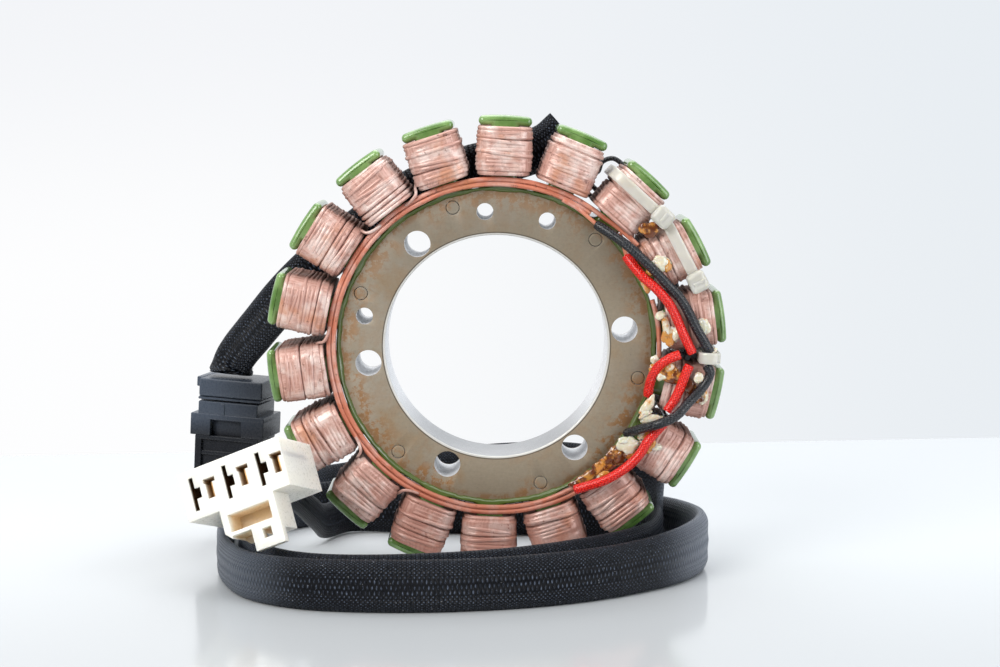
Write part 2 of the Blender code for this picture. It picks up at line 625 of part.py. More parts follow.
def build_black_connector(material, cap_material):
    half_width, half_depth = BLACK_WIDTH / 2, BLACK_DEPTH / 2
    half_collar = BLACK_COLLAR_WIDTH / 2
    half_neck = BLACK_NECK_WIDTH / 2
    half_foot = half_width - BLACK_TAPER
    collar_foot = BLACK_BODY_HEIGHT
    neck_foot = collar_foot + BLACK_COLLAR_HEIGHT
    top = neck_foot + BLACK_NECK_HEIGHT
    outline = (
        (-half_foot, 0), (half_foot, 0), (half_width, collar_foot), (half_collar, collar_foot),
        (half_collar, neck_foot), (half_neck, neck_foot), (half_neck, top), (-half_neck, top),
        (-half_neck, neck_foot), (-half_collar, neck_foot), (-half_collar, collar_foot),
        (-half_width, collar_foot),
    )
    mesh = bmesh.new()
    prism(mesh, outline, -half_depth, half_depth)
    body = link("black_connector_body", finish(mesh, "black_connector_body"), material)
    mesh = bmesh.new()
    margin = BLACK_PANEL_MARGIN
    box(
        mesh,
        (-half_width + margin, -half_depth - OVERRUN, margin),
        (half_width - margin, -half_depth + BLACK_PANEL_DEPTH, collar_foot - margin),
    )
    box(
        mesh,
        (-half_width + margin, -half_depth - OVERRUN, collar_foot + BLACK_COLLAR_HEIGHT / 5),
        (half_width - margin, -half_depth + BLACK_WINDOW_DEPTH, neck_foot - BLACK_COLLAR_HEIGHT / 5),
    )
    cuts = link("black_connector_cuts", finish(mesh, "black_connector_cuts"), None, None, cutter=True)
    boolean(body, cuts, "DIFFERENCE")
    mesh = bmesh.new()
    half_cap = BLACK_CAP_WIDTH / 2
    foot = top + GAP
    box(mesh, (-half_cap, -half_depth, foot), (half_cap, half_depth, foot + BLACK_CAP_HEIGHT))
    cap = link("black_connector_cap", finish(mesh, "black_connector_cap"), cap_material)
    bevel(cap, BLACK_BEVEL)
    for thing in (body, cuts, cap):
        thing.location = BLACK_PLACE
        thing.rotation_euler = (0, math.radians(BLACK_ROLL_DEGREES), math.radians(BLACK_YAW_DEGREES))


def white_cuts(mesh):
    """The latch's recess and eye under the housing, with the front plane at Y 0."""
    shroud_top = -WHITE_HEIGHT
    recess_left = SHROUD_LEFT + SHROUD_WALL
    recess_right = SHROUD_LEFT + SHROUD_WIDTH - SHROUD_WALL
    recess_top = shroud_top - SHROUD_WALL
    recess_foot = recess_top - SHROUD_HEIGHT / 2
    box(mesh, (recess_left, -OVERRUN, recess_foot), (recess_right, SHROUD_DEPTH - SHROUD_WALL, recess_top))
    lever_left = SHROUD_LEFT + SHROUD_WIDTH - LEVER_WIDTH
    box(
        mesh,
        (recess_left, -OVERRUN, shroud_top - SHROUD_HEIGHT - OVERRUN),
        (lever_left, SHROUD_DEPTH - SHROUD_WALL, recess_foot - SHROUD_WALL / 2),
    )
    eye_left = lever_left + (LEVER_WIDTH - LEVER_HOLE) / 2
    eye_top = recess_foot - SHROUD_WALL
    box(
        mesh,
        (eye_left, -OVERRUN, eye_top - LEVER_HOLE),
        (eye_left + LEVER_HOLE, SHROUD_DEPTH - SHROUD_WALL, eye_top),
    )


def build_white_connector(material, contact_material):
    """Local axes: X along the row of contacts, Y into the housing, Z up, origin at the front face's upper left."""
    turn_x, turn_y, turn_z = (math.radians(degrees) for degrees in WHITE_TURN_DEGREES)
    place = Matrix.Translation(WHITE_PLACE) @ Matrix.Rotation(turn_z, 4, "Z")
    place = place @ Matrix.Rotation(turn_x, 4, "X") @ Matrix.Rotation(turn_y, 4, "Y")
    shroud_right = SHROUD_LEFT + SHROUD_WIDTH
    lever_left = shroud_right - LEVER_WIDTH
    bottom = -WHITE_HEIGHT
    foot = bottom - SHROUD_HEIGHT
    outline = (
        (0, 0), (0, bottom), (SHROUD_LEFT, bottom), (SHROUD_LEFT, foot + SHROUD_CORNER),
        (SHROUD_LEFT + SHROUD_CORNER, foot), (lever_left, foot), (lever_left, foot - LEVER_DROP),
        (shroud_right, foot - LEVER_DROP), (shroud_right, bottom), (WHITE_WIDTH, bottom), (WHITE_WIDTH, 0),
    )
    mesh = bmesh.new()
    prism(mesh, outline, 0, WHITE_DEPTH)
    housing = link("white_connector_housing", finish(mesh, "white_connector_housing"), material)
    mesh = bmesh.new()
    for depth, top in ((SHROUD_DEPTH, bottom), (LEVER_THICKNESS, foot)):
        box(
            mesh,
            (-OVERRUN - depth, depth, foot - LEVER_DROP - OVERRUN - depth),
            (WHITE_WIDTH + OVERRUN + depth, WHITE_DEPTH + OVERRUN + depth, top),
        )
    back_cut = link("white_back_cut", finish(mesh, "white_back_cut"), None, None, cutter=True)
    mesh = bmesh.new()
    white_cuts(mesh)
    middle = -WHITE_HEIGHT / 2
    for number in range(3):
        left = CONTACT_MARGIN + CONTACT_PITCH * number
        notch_right = left + SLOT_WIDTH + NOTCH_WIDTH
        pocket = notch_right + POCKET_WALL
        box(mesh, (left, -OVERRUN, middle - SLOT_HEIGHT / 2), (left + SLOT_WIDTH, CAVITY_DEPTH, middle + SLOT_HEIGHT / 2))
        box(
            mesh,
            (left + SLOT_WIDTH / 2, -OVERRUN - GAP, middle - NOTCH_HEIGHT / 2),
            (notch_right, CAVITY_DEPTH + GAP, middle + NOTCH_HEIGHT / 2),
        )
        box(
            mesh,
            (pocket, -OVERRUN, middle - POCKET_HEIGHT / 2),
            (pocket + POCKET_WIDTH, CAVITY_DEPTH, middle + POCKET_HEIGHT / 2),
        )
        box(
            mesh,
            (pocket - POCKET_LIP / 2, -OVERRUN - GAP, middle + POCKET_HEIGHT / 2 - POCKET_LIP),
            (pocket + POCKET_WIDTH + POCKET_LIP, CAVITY_DEPTH + GAP, middle + POCKET_HEIGHT / 2 + GAP),
        )
        contact = bmesh.new()
        contact_left = pocket + (POCKET_WIDTH - CONTACT_THICKNESS) / 2
        box(
            contact,
            (contact_left, POCKET_WIDTH, middle - POCKET_HEIGHT / 2 + GAP),
            (contact_left + CONTACT_THICKNESS, CAVITY_DEPTH - GAP, middle + POCKET_HEIGHT / 2 - GAP),
        )
        blade = link(f"white_contact_{number + 1}", finish(contact, "white_contact"), contact_material)
        blade.matrix_world = place
    cuts = link("white_cuts", finish(mesh, "white_cuts"), None, None, cutter=True)
    for cutter in (back_cut, cuts):
        boolean(housing, cutter, "DIFFERENCE")
        housing.modifiers[-1].use_self = True
    for thing in (housing, back_cut, cuts):
        thing.matrix_world = place


def build_leads(material):
    points = smooth_route([[value * MM for value in point] for point in LEAD_A_ROUTE], 2)
    half_flat = (LEAD_A_WIDTH - LEAD_THICKNESS) / 2
    tube("lead_a_sleeve", points, LEAD_THICKNESS, material, flat=half_flat)
    route = [[value * MM for value in point[:3]] + [point[3]] for point in LEAD_B_ROUTE]
    points = smooth_route(route, 2)
    half_flat = (LEAD_B_WIDTH - LEAD_THICKNESS) / 2
    shares = [float(point[3]) for point in points]
    tube("lead_b_sleeve", points, LEAD_THICKNESS, material, flat=half_flat, shares=shares)


def build():
    clear_scene()
    steel = new_material("silicon_steel", (0.40, 0.34, 0.28), 0.42, 0.85)
    coat = new_material("green_epoxy", (0.13, 0.30, 0.06), 0.28, 0.0)
    copper = new_material("enamelled_copper", (0.58, 0.27, 0.19), 0.3, 0.7)
    red = new_material("red_sleeving", (0.9, 0.03, 0.01), 0.4, 0.0)
    black = new_material("black_sleeving", (0.02, 0.025, 0.03), 0.45, 0.0)
    resin = new_material("splice_resin", (0.75, 0.62, 0.42), 0.25, 0.0)
    nylon = new_material("natural_nylon", (0.78, 0.77, 0.68), 0.4, 0.0)
    braid = new_material("black_braid", (0.012, 0.014, 0.018), 0.6, 0.0)
    plastic = new_material("black_plastic", (0.015, 0.016, 0.02), 0.35, 0.0)
    ivory = new_material("ivory_plastic", (0.86, 0.83, 0.74), 0.35, 0.0)
    brass = new_material("contact_brass", (0.55, 0.33, 0.12), 0.35, 0.9)
    axis = bpy.data.objects.new("stator_axis", None)
    bpy.context.scene.collection.objects.link(axis)
    axis.location = (0, 0, TIP_RADIUS)
    build_stack(axis, steel)
    build_rivets(axis, steel)
    build_coat(axis, coat)
    build_coils(axis, copper)
    build_jumpers(axis, copper)
    build_wiring(axis, red, black, black)
    build_resin(axis, resin)
    build_ties(axis, nylon)
    build_leads(braid)
    build_black_connector(plastic, plastic)
    build_white_connector(ivory, brass)


build()
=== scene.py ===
"""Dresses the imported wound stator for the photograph's view: real windings, lacquer, braid, splices."""

import math
import random

import bmesh
import bpy
import numpy as np
from mathutils import Matrix, Vector, noise


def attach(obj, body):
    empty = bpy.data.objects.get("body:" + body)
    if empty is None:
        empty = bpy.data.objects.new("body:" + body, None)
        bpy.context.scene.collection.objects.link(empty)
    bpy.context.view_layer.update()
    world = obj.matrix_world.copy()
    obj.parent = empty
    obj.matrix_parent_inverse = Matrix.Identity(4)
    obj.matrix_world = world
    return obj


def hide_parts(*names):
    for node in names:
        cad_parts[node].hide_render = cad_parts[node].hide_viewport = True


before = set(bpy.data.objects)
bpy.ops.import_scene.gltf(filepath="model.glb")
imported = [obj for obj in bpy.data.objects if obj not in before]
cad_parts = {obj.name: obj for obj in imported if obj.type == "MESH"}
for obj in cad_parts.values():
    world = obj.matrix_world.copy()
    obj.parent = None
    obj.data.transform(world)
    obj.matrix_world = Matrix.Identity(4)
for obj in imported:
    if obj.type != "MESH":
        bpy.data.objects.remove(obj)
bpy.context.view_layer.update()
MM = 0.001

# Sizes repeated from the part's source, in millimetres
POLES = 18
POLE_STEP = 20
FIRST_POLE = 87.7
AXIS_Z = 61.5
BORE = 29.75
YOKE = 42.0
TOOTH = 5.6
SHOE_WIDTH = 12.6
SHOE_THICK = 2.0
SHOE_RADIUS = 60.7
STACK_HALF = 10.0
COAT_OUT = 0.8
COIL_IN = 45.6
COIL_OUT = 57.4
COIL_HALF = 7.6
COIL_FACE = 15.0
TURNS = 12
SLEEVE_LOW = 12.4
SLEEVE_HIGH = 16.6
SLEEVE_WIDE = 2.6
REAR_LAY = 16.0
WIRE_WIDE = 1.4
JUMPER_Y = 11.7
LEAD_THICK = 4.6
LEAD_A_WIDE = 12.5
LEAD_B_WIDE = 15.8

# Sizes of the dressed pieces alone, in millimetres
TURN_RADIUS = 0.58
TURN_STRAY = 0.1
TURN_CORNER = 3.4
SHELL_CORNER = 3.2
COIL_CROWN = 0.32
COIL_POINTS = 44
TURNS_PAST = 1.15
SHELL_PAST = 1.05
LINK_RADIUS = 0.42
JUMPER_RADII = (44.65, 43.35)
JUMPER_THICK = 0.66
JUMPER_END_THICK = 0.55
SHOE_ROUND = 1.3
BORE_EDGE = 0.45
FILLET = 1.0
BRAID_POINTS = 44

# Lamps, in watts
KEY_WATTS, FILL_WATTS, TOP_WATTS, REAR_WATTS = 8.0, 4.1, 3.4, 3.4

CENTRE = np.array([0, 0, AXIS_Z])
DEPTH = np.array([0, 1.0, 0])


# Node trees

class Value:
    """A number that a node gives, with plain arithmetic."""

    def __init__(self, nodes, socket):
        self.nodes, self.socket = nodes, socket

    def __rsub__(self, other):
        return self.nodes.math("SUBTRACT", other, self)


def arithmetic(operation):
    return lambda value, other=0.0: value.nodes.math(operation, value, other)


for short, operation in (("add", "ADD"), ("sub", "SUBTRACT"), ("mul", "MULTIPLY"), ("truediv", "DIVIDE"),
                         ("abs", "ABSOLUTE")):
    setattr(Value, f"__{short}__", arithmetic(operation))


class Nodes:
    """A node tree whose nodes are made by short calls."""

    def __init__(self, tree):
        self.tree = tree

    def node(self, kind, inputs=(), **settings):
        made = self.tree.nodes.new(kind)
        for name, value in settings.items():
            setattr(made, name, value)
        for key, value in dict(inputs).items():
            self.feed(made.inputs[key], value)
        return made

    def feed(self, socket, value):
        value = getattr(value, "socket", value)
        if isinstance(value, bpy.types.NodeSocket):
            self.tree.links.new(value, socket)
        elif isinstance(value, tuple) and socket.type == "RGBA":
            socket.default_value = (*value, 1)
        else:
            socket.default_value = value

    def math(self, operation, first, second=0.0, clamp=False):
        made = self.node("ShaderNodeMath", {0: first, 1: second}, operation=operation, use_clamp=clamp)
        return Value(self, made.outputs[0])

    def band(self, value, low, high, out_low=0.0, out_high=1.0):
        """A smooth step from one number to another as the value goes from low to high."""
        inputs = {0: value, 1: low, 2: high, 3: out_low, 4: out_high}
        return Value(self, self.node("ShaderNodeMapRange", inputs, interpolation_type="SMOOTHSTEP").outputs[0])

    def mix(self, share, first, second):
        made = self.node("ShaderNodeMix", data_type="RGBA")
        for index, value in ((0, share), (6, first), (7, second)):
            self.feed(made.inputs[index], value)
        return made.outputs[2]

    def split(self, vector):
        return [Value(self, part) for part in self.node("ShaderNodeSeparateXYZ", {0: vector}).outputs]


class Shader(Nodes):
    """A material that is painted in layers."""

    def __init__(self, name, roughness=0.4, metallic=0.0, coat=0.0, coat_roughness=0.1, specular=0.5):
        self.material = bpy.data.materials.new(name)
        self.material.use_nodes = True
        super().__init__(self.material.node_tree)
        self.shader = self.tree.nodes["Principled BSDF"]
        self.set(Roughness=roughness, Metallic=metallic, Coat_Weight=coat, Coat_Roughness=coat_roughness,
                 IOR=1.5, Specular_IOR_Level=specular)
        self.place = self.node("ShaderNodeTexCoord").outputs["Object"]
        self.base = None

    def set(self, **sockets):
        for name, value in sockets.items():
            self.feed(self.shader.inputs[name.replace("_", " ")], value)

    def done(self, **sockets):
        self.set(Base_Color=self.base, **sockets)
        return self

    def over(self, share, colour):
        """Lays a colour over what the material has so far."""
        self.base = self.mix(share, self.base, colour)

    def noise(self, scale, detail=3.0, rough=0.55, where=None):
        inputs = {"Vector": where or self.place, "Scale": scale, "Detail": detail, "Roughness": rough}
        return Value(self, self.node("ShaderNodeTexNoise", inputs).outputs["Fac"])

    def patches(self, scale, detail, rough, low, high, most=1.0):
        """Blotches of noise, from none at low to the most at high."""
        return self.band(self.noise(scale, detail, rough), low, high, 0.0, most)

    def stretch(self, scale, where=None):
        return self.node("ShaderNodeMapping", {"Vector": where or self.place, "Scale": scale}).outputs[0]

    def bump(self, height, distance, strength, normal=None):
        inputs = {"Height": height, "Distance": distance, "Strength": strength}
        if normal is not None:
            inputs["Normal"] = normal
        return self.node("ShaderNodeBump", inputs).outputs[0]

    def ring_radius(self):
        """How far a point is from the ring's axis."""
        x, _, z = self.split(self.place)
        height = z - AXIS_Z * MM
        return self.math("SQRT", x * x + height * height)

    def uv(self):
        return self.node("ShaderNodeUVMap", uv_map="UVMap").outputs[0]

    def weave(self, period):
        """Two families of strands crossing over and under, as (height, crest) of the uv map in metres."""
        along, across = (part * (1 / period) for part in self.split(self.uv())[:2])
        pair = along + across, along - across
        floors = [self.math("FLOOR", value) for value in pair]
        over = self.math("MODULO", abs(floors[0] + floors[1]), 2.0)
        first, second = (abs(self.math("SINE", value * math.pi)) for value in pair)
        under = 1.0 - over
        height = first * over + second * under
        return height, height * (second * over + first * under)


# Camera, light and floor

def add_camera():
    data = bpy.data.cameras.new("camera")
    data.sensor_width = 36.0
    data.lens = 75.2
    data.clip_start = 0.01
    data.clip_end = 20.0
    camera = bpy.data.objects.new("camera", data)
    bpy.context.scene.collection.objects.link(camera)
    camera.location = (0.97 * MM, -564.1 * MM, 127.1 * MM)
    camera.rotation_euler = (math.radians(90 - 6.4), 0, 0)
    bpy.context.scene.camera = camera


def add_area(name, place, aim, size, watts, colour=(1, 1, 1)):
    data = bpy.data.lights.new(name, "AREA")
    data.shape = "RECTANGLE"
    data.size, data.size_y = size
    data.energy = watts
    data.color = colour
    lamp = bpy.data.objects.new(name, data)
    bpy.context.scene.collection.objects.link(lamp)
    lamp.location = place
    lamp.rotation_euler = (Vector(aim) - Vector(place)).to_track_quat("-Z", "Y").to_euler()


def light_scene():
    """Soft white studio; the camera sees a pale backdrop, brightest on the left."""
    scene = bpy.context.scene
    scene.view_settings.view_transform = "Standard"
    scene.world = bpy.data.worlds.new("studio")
    scene.world.use_nodes = True
    made = Nodes(scene.world.node_tree)
    made.tree.nodes.clear()
    ray = made.node("ShaderNodeLightPath").outputs
    x, y, z = made.split(made.node("ShaderNodeTexCoord").outputs["Generated"])
    seen = made.math("MAXIMUM", ray["Is Camera Ray"], ray["Is Transmission Ray"])
    mirrored = made.math("MULTIPLY", ray["Is Glossy Ray"], made.math("GREATER_THAN", y, 0.0))
    share = made.band(x, -0.16, 0.26)
    lower = made.mix(share, (0.985, 0.988, 0.995), (0.815, 0.855, 0.893))
    upper = made.mix(share, (0.9, 0.913, 0.94), (0.81, 0.852, 0.893))
    backdrop = {"Color": made.mix(made.band(z, -0.09, 0.05), lower, upper)}
    ambient = {"Color": (0.94, 0.965, 1.0), "Strength": made.band(y, -0.75, 0.25, 0.12, 1.05)}
    lights = [made.node("ShaderNodeBackground", inputs).outputs[0] for inputs in (ambient, backdrop)]
    blend = {0: made.math("MAXIMUM", seen, mirrored), 1: lights[0], 2: lights[1]}
    made.node("ShaderNodeOutputWorld", {"Surface": made.node("ShaderNodeMixShader", blend).outputs[0]})
    add_area("key", (-0.5, -0.62, 0.52), (0, 0, 0.05), (0.5, 0.5), KEY_WATTS, (1.0, 0.985, 0.96))
    add_area("fill", (0.6, -0.5, 0.3), (0, 0, 0.05), (0.5, 0.6), FILL_WATTS, (0.95, 0.97, 1.0))
    add_area("top", (0.0, 0.05, 0.75), (0, 0, 0.0), (0.8, 0.6), TOP_WATTS)
    add_area("rear", (0.1, 0.6, 0.78), (0, 0, 0.02), (0.9, 0.4), REAR_WATTS)


def add_floor():
    """A glossy white table whose far edge lies behind the part."""
    made = Shader("table", roughness=0.13, specular=0.55)
    x, y, _ = made.split(made.place)
    # Painted light on the floor: darker in front and paler further back to even out the lamps, plus a painted pool of
    # light round the part where its shadow and reflection fall.
    across, deep = (x + 0.014) / 0.066, (y - 0.025) / 0.075
    painted_light_pool = made.band(across * across + deep * deep, 1.15, 0.6, 0.0, 0.38)
    paleness_with_painted_light = made.band(y, -0.16, 0.08, 0.42, 0.6) + painted_light_pool
    made.set(Base_Color=made.mix(paleness_with_painted_light, (0.0, 0.0, 0.0), (0.935, 0.972, 1.0)))
    mesh = bpy.data.meshes.new("floor")
    corners = [(-2.0, -1.2, 0), (2.0, -1.2, 0), (2.0, 0.42, 0), (-2.0, -0.03, 0)]
    mesh.from_pydata(corners, [], [(0, 1, 2, 3)])
    mesh.materials.append(made.material)
    link("floor", mesh)


# Meshes

def link(name, data):
    thing = bpy.data.objects.new(name, data)
    bpy.context.scene.collection.objects.link(thing)
    return thing


def polar(radius, degrees, y):
    angle = math.radians(degrees)
    return np.array([radius * math.cos(angle), y, AXIS_Z + radius * math.sin(angle)])


def bearing(degrees):
    """Directions outward from the ring's axis and round it."""
    angle = math.radians(degrees)
    return np.array([math.cos(angle), 0, math.sin(angle)]), np.array([-math.sin(angle), 0, math.cos(angle)])


def unit(vectors):
    return vectors / np.maximum(np.linalg.norm(vectors, axis=-1, keepdims=True), 1e-12)


def smooth_route(points, parts):
    """Points along a smooth curve through the route, each interval divided into so many parts."""
    route = np.array(points, float)
    padded = np.vstack([2 * route[0] - route[1], route, 2 * route[-1] - route[-2]])
    found = []
    for index in range(1, len(padded) - 2):
        before, start, end, after = padded[index - 1:index + 3]
        spans = [max(float(np.linalg.norm(b[:3] - a[:3])), 1e-9) ** 0.5
                 for a, b in ((before, start), (start, end), (end, after))]
        leave = (start - before) / spans[0] - (end - before) / (spans[0] + spans[1]) + (end - start) / spans[1]
        arrive = (end - start) / spans[1] - (after - start) / (spans[1] + spans[2]) + (after - end) / spans[2]
        leave, arrive = leave * spans[1], arrive * spans[1]
        for part in range(parts):
            t = part / parts
            found.append(
                (2 * t**3 - 3 * t**2 + 1) * start + (t**3 - 2 * t**2 + t) * leave
                + (3 * t**2 - 2 * t**3) * end + (t**3 - t**2) * arrive
            )
    found.append(route[-1])
    return np.array(found)


def frames(path, up=None):
    """Two directions across the path at each point, the second nearest to up."""
    ahead = unit(np.gradient(path, axis=0))
    if up is not None:
        lift = np.broadcast_to(np.asarray(up, float), path.shape)
        high = unit(lift - (lift * ahead).sum(1, keepdims=True) * ahead)
    else:
        previous = np.array([0, 1.0, 0]) if abs(ahead[0][1]) < 0.8 else np.array([1.0, 0, 0])
        high = np.zeros_like(path)
        for index, direction in enumerate(ahead):
            previous = previous - direction * (previous @ direction)
            previous = previous / np.linalg.norm(previous)
            high[index] = previous
    return np.cross(ahead, high), high


def disc(centre, radius, y, sides):
    """Points round a circle that faces along the ring's axis."""
    turns = np.linspace(0, 2 * math.pi, sides, endpoint=False)
    return np.stack([centre[0] + radius * np.cos(turns), np.full(sides, y), centre[2] + radius * np.sin(turns)], 1)


def rounded_loop(low_y, high_y, low_s, high_s, corner, grow=0.0, count=10):
    """(y, s) points round a rounded rectangle that is grown outward."""
    centre_y, centre_s = (low_y + high_y) / 2, (low_s + high_s) / 2
    half_y, half_s = (high_y - low_y) / 2 + grow, (high_s - low_s) / 2 + grow
    corner += grow
    points = []
    for sign_y, sign_s, first in ((1, 1, 0), (-1, 1, 90), (-1, -1, 180), (1, -1, 270)):
        for step in range(count + 1):
            angle = math.radians(first + 90 * step / count)
            points.append((centre_y + sign_y * (half_y - corner) + corner * math.cos(angle),
                           centre_s + sign_s * (half_s - corner) + corner * math.sin(angle)))
    return np.array(points)


def finish_mesh(work, data, sharp=None, outward=True):
    """Writes a worked mesh into the data, smooth apart from edges sharper than the angle."""
    if outward:
        bmesh.ops.recalc_face_normals(work, faces=work.faces)
    work.to_mesh(data)
    work.free()
    data.shade_smooth()
    if sharp is not None:
        data.set_sharp_from_angle(angle=math.radians(sharp))
    return data


class Solid:
    """Points, faces and uv coordinates gathered in millimetres, then made into one mesh in metres."""

    def __init__(self):
        self.points = []
        self.quads = []
        self.quad_uvs = []
        self.others = []
        self.count = 0

    def grid(self, rows, closed=False, caps=True, wide=None, start=0.0):
        """A skin over rows of points, each of them a closed loop; uv is metres along and metres across."""
        rows = np.asarray(rows, float)
        n, k = rows.shape[:2]
        steps = np.linalg.norm(np.diff(rows.mean(1), axis=0), axis=1)
        along = np.concatenate([[0], np.cumsum(steps)])
        last = np.linalg.norm(rows[-1].mean(0) - rows[0].mean(0)) if closed else 0
        along = np.append(along, along[-1] + last)
        if wide is None:
            wide = np.linalg.norm(rows[n // 2] - np.roll(rows[n // 2], -1, 0), axis=1).sum()
        across = np.linspace(0, wide, k + 1)
        i, j = (part.ravel() for part in np.indices((n if closed else n - 1, k)))
        following, beside = (i + 1) % n, (j + 1) % k
        quads = np.stack([i * k + j, i * k + beside, following * k + beside, following * k + j], 1)
        self.quads.append(quads + self.count)
        corners = ((i, j), (i, j + 1), (i + 1, j + 1), (i + 1, j))
        self.quad_uvs.append(np.stack([np.stack([along[a] + start, across[b]], 1) for a, b in corners], 1) * MM)
        if caps and not closed:
            self.others.append([self.count + index for index in range(k - 1, -1, -1)])
            self.others.append([self.count + (n - 1) * k + index for index in range(k)])
        self.points.append(rows.reshape(-1, 3))
        self.count += n * k
        return self

    def tube(self, path, radius, sides=10, taper=None, start=0.0):
        path = np.asarray(path, float)
        side, high = frames(path)
        turns = np.linspace(0, 2 * math.pi, sides, endpoint=False)
        radii = np.full(len(path), float(radius)) if taper is None else radius * np.asarray(taper)
        rows = (path[:, None] + radii[:, None, None]
                * (np.cos(turns)[None, :, None] * side[:, None] + np.sin(turns)[None, :, None] * high[:, None]))
        return self.grid(rows, start=start)

    def mesh(self, name, sharp=None):
        data = bpy.data.meshes.new(name)
        points = np.concatenate(self.points) * MM
        data.from_pydata(points.tolist(), [], np.concatenate(self.quads).tolist() + self.others)
        layer = data.uv_layers.new(name="UVMap")
        uv = np.zeros((len(data.loops), 2))
        flat = np.concatenate(self.quad_uvs).reshape(-1, 2)
        uv[:len(flat)] = flat
        layer.data.foreach_set("uv", uv.ravel())
        work = bmesh.new()
        work.from_mesh(data)
        return finish_mesh(work, data, sharp)


def place(name, data, shader, slot, replaced):
    thing = link(name, data)
    data.materials.clear()
    data.materials.append(shader.material)
    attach(thing, "root")
    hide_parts(*replaced)
    return thing


def bevelled(thing, width, segments, degrees, sharp):
    """The mesh that the object has with its modifiers and a bevel in millimetres; the object itself goes."""
    edge = thing.modifiers.new("edge", "BEVEL")
    edge.width = width * MM
    edge.segments = segments
    edge.limit_method = "ANGLE"
    edge.angle_limit = math.radians(degrees)
    data = bpy.data.meshes.new_from_object(thing.evaluated_get(bpy.context.evaluated_depsgraph_get()))
    bpy.data.objects.remove(thing)
    data.shade_smooth()
    data.set_sharp_from_angle(angle=math.radians(sharp))
    return data


# Materials

def steel_shader():
    """Bare plate: fine rolled grain, brown stains near the rim, and a bright ground bore, with a painted shade line at
    the bore's chamfer and painted shade on the bore's lower wall.
    """
    made = Shader("steel", roughness=0.42, metallic=0.35, specular=0.45)
    _, y, z = made.split(made.place)
    height = z - AXIS_Z * MM
    radius = made.ring_radius()
    mottle = made.noise(1100.0, 6.0, 0.7)
    grain = made.noise(1.0, 4.0, 0.65, made.stretch((380.0, 300.0, 2600.0)))
    made.base = made.mix(made.noise(60.0, 3.0, 0.5), (0.24, 0.194, 0.136), (0.34, 0.288, 0.212))
    made.over(made.band(mottle, 0.35, 0.75, 0.0, 0.28), (0.155, 0.125, 0.092))
    made.over(made.band(grain, 0.5, 0.75, 0.0, 0.22), (0.37, 0.335, 0.28))
    made.over(made.patches(48.0, 4.0, 0.6, 0.46, 0.62, 0.22), (0.42, 0.39, 0.34))
    made.over(made.patches(70.0, 4.0, 0.62, 0.54, 0.7) * 0.42, (0.3, 0.19, 0.09))
    made.over(made.patches(900.0, 5.0, 0.75, 0.62, 0.7, 0.5), (0.085, 0.07, 0.05))
    spots = made.patches(300.0, 6.0, 0.72, 0.45, 0.57)
    spread = made.patches(52.0, 2.0, 0.5, 0.37, 0.52)
    edge = made.band(radius, 34.0 * MM, 40.6 * MM)
    rust = made.math("MULTIPLY", spots * spread, edge + 0.2, clamp=True)
    rust = rust * made.band(height, 12.0 * MM, -30.0 * MM, 0.7, 1.0)
    made.over(rust, made.mix(mottle, (0.36, 0.18, 0.06), (0.2, 0.095, 0.04)))
    rim = made.band(radius, 39.2 * MM, 40.8 * MM) * made.band(spots, 0.0, 1.0, 0.25, 0.9)
    made.over(rim, (0.23, 0.13, 0.06))
    made.over(made.band(height, 0.0, 36.0 * MM, 0.0, 0.26), (0.085, 0.072, 0.055))
    made.over(made.band(radius, 30.35 * MM, 30.25 * MM), (0.56, 0.55, 0.52))
    # A painted shade line round the bore's front chamfer.
    chamfer_shade_line = made.band(radius, 30.3 * MM, 30.42 * MM) * made.band(radius, 30.68 * MM, 30.56 * MM)
    made.over(chamfer_shade_line * 0.75, (0.035, 0.03, 0.024))
    wall = 1.0 - made.band(abs(y), 9.45 * MM, 9.75 * MM)
    sheets = made.math("SINE", y * (2 * math.pi / (0.5 * MM)))
    bright = made.mix(made.band(sheets, -0.9, 0.6), (0.6, 0.61, 0.625), (0.86, 0.87, 0.89))
    # Painted shade on the lower part of the bore wall: the lamination's bright colour gives way to dark there.
    lower = made.band(height, -12.0 * MM, -27.0 * MM, 0.0, 0.66) * made.band(radius, 31.4 * MM, 30.9 * MM)
    made.over(wall, made.mix(lower, bright, (0.1, 0.104, 0.11)))
    soft = made.bump(mottle + grain + rust * -0.8, 0.05 * MM, 0.5)
    return made.done(Roughness=(mottle + rust) * 0.2 + 0.33, Normal=made.bump(sheets * wall, 0.03 * MM, 0.5, soft))


def green_shader():
    """Thick dipped lacquer: uneven, darker where thick, with small pits, and painted shade on the narrow band next to
    the yoke's wires.
    """
    made = Shader("green_lacquer", roughness=0.2, coat=0.6, coat_roughness=0.05)
    broad = made.noise(150.0, 3.0, 0.5)
    fine = made.noise(800.0, 2.0, 0.5)
    made.base = made.mix(made.band(broad, 0.3, 0.7), (0.075, 0.165, 0.032), (0.19, 0.32, 0.105))
    made.over(made.band(fine, 0.62, 0.8, 0.0, 0.4), (0.2, 0.34, 0.12))
    made.over(made.patches(420.0, 2.0, 0.55, 0.68, 0.76, 0.5), (0.07, 0.09, 0.02))
    # Painted shade on the narrow band next to the yoke, under the wires that run round it.
    made.over(made.band(made.ring_radius(), 46.0 * MM, 43.6 * MM, 0.0, 0.76), (0.044, 0.051, 0.002))
    return made.done(Normal=made.bump(broad + fine * 0.15, 0.4 * MM, 0.45))


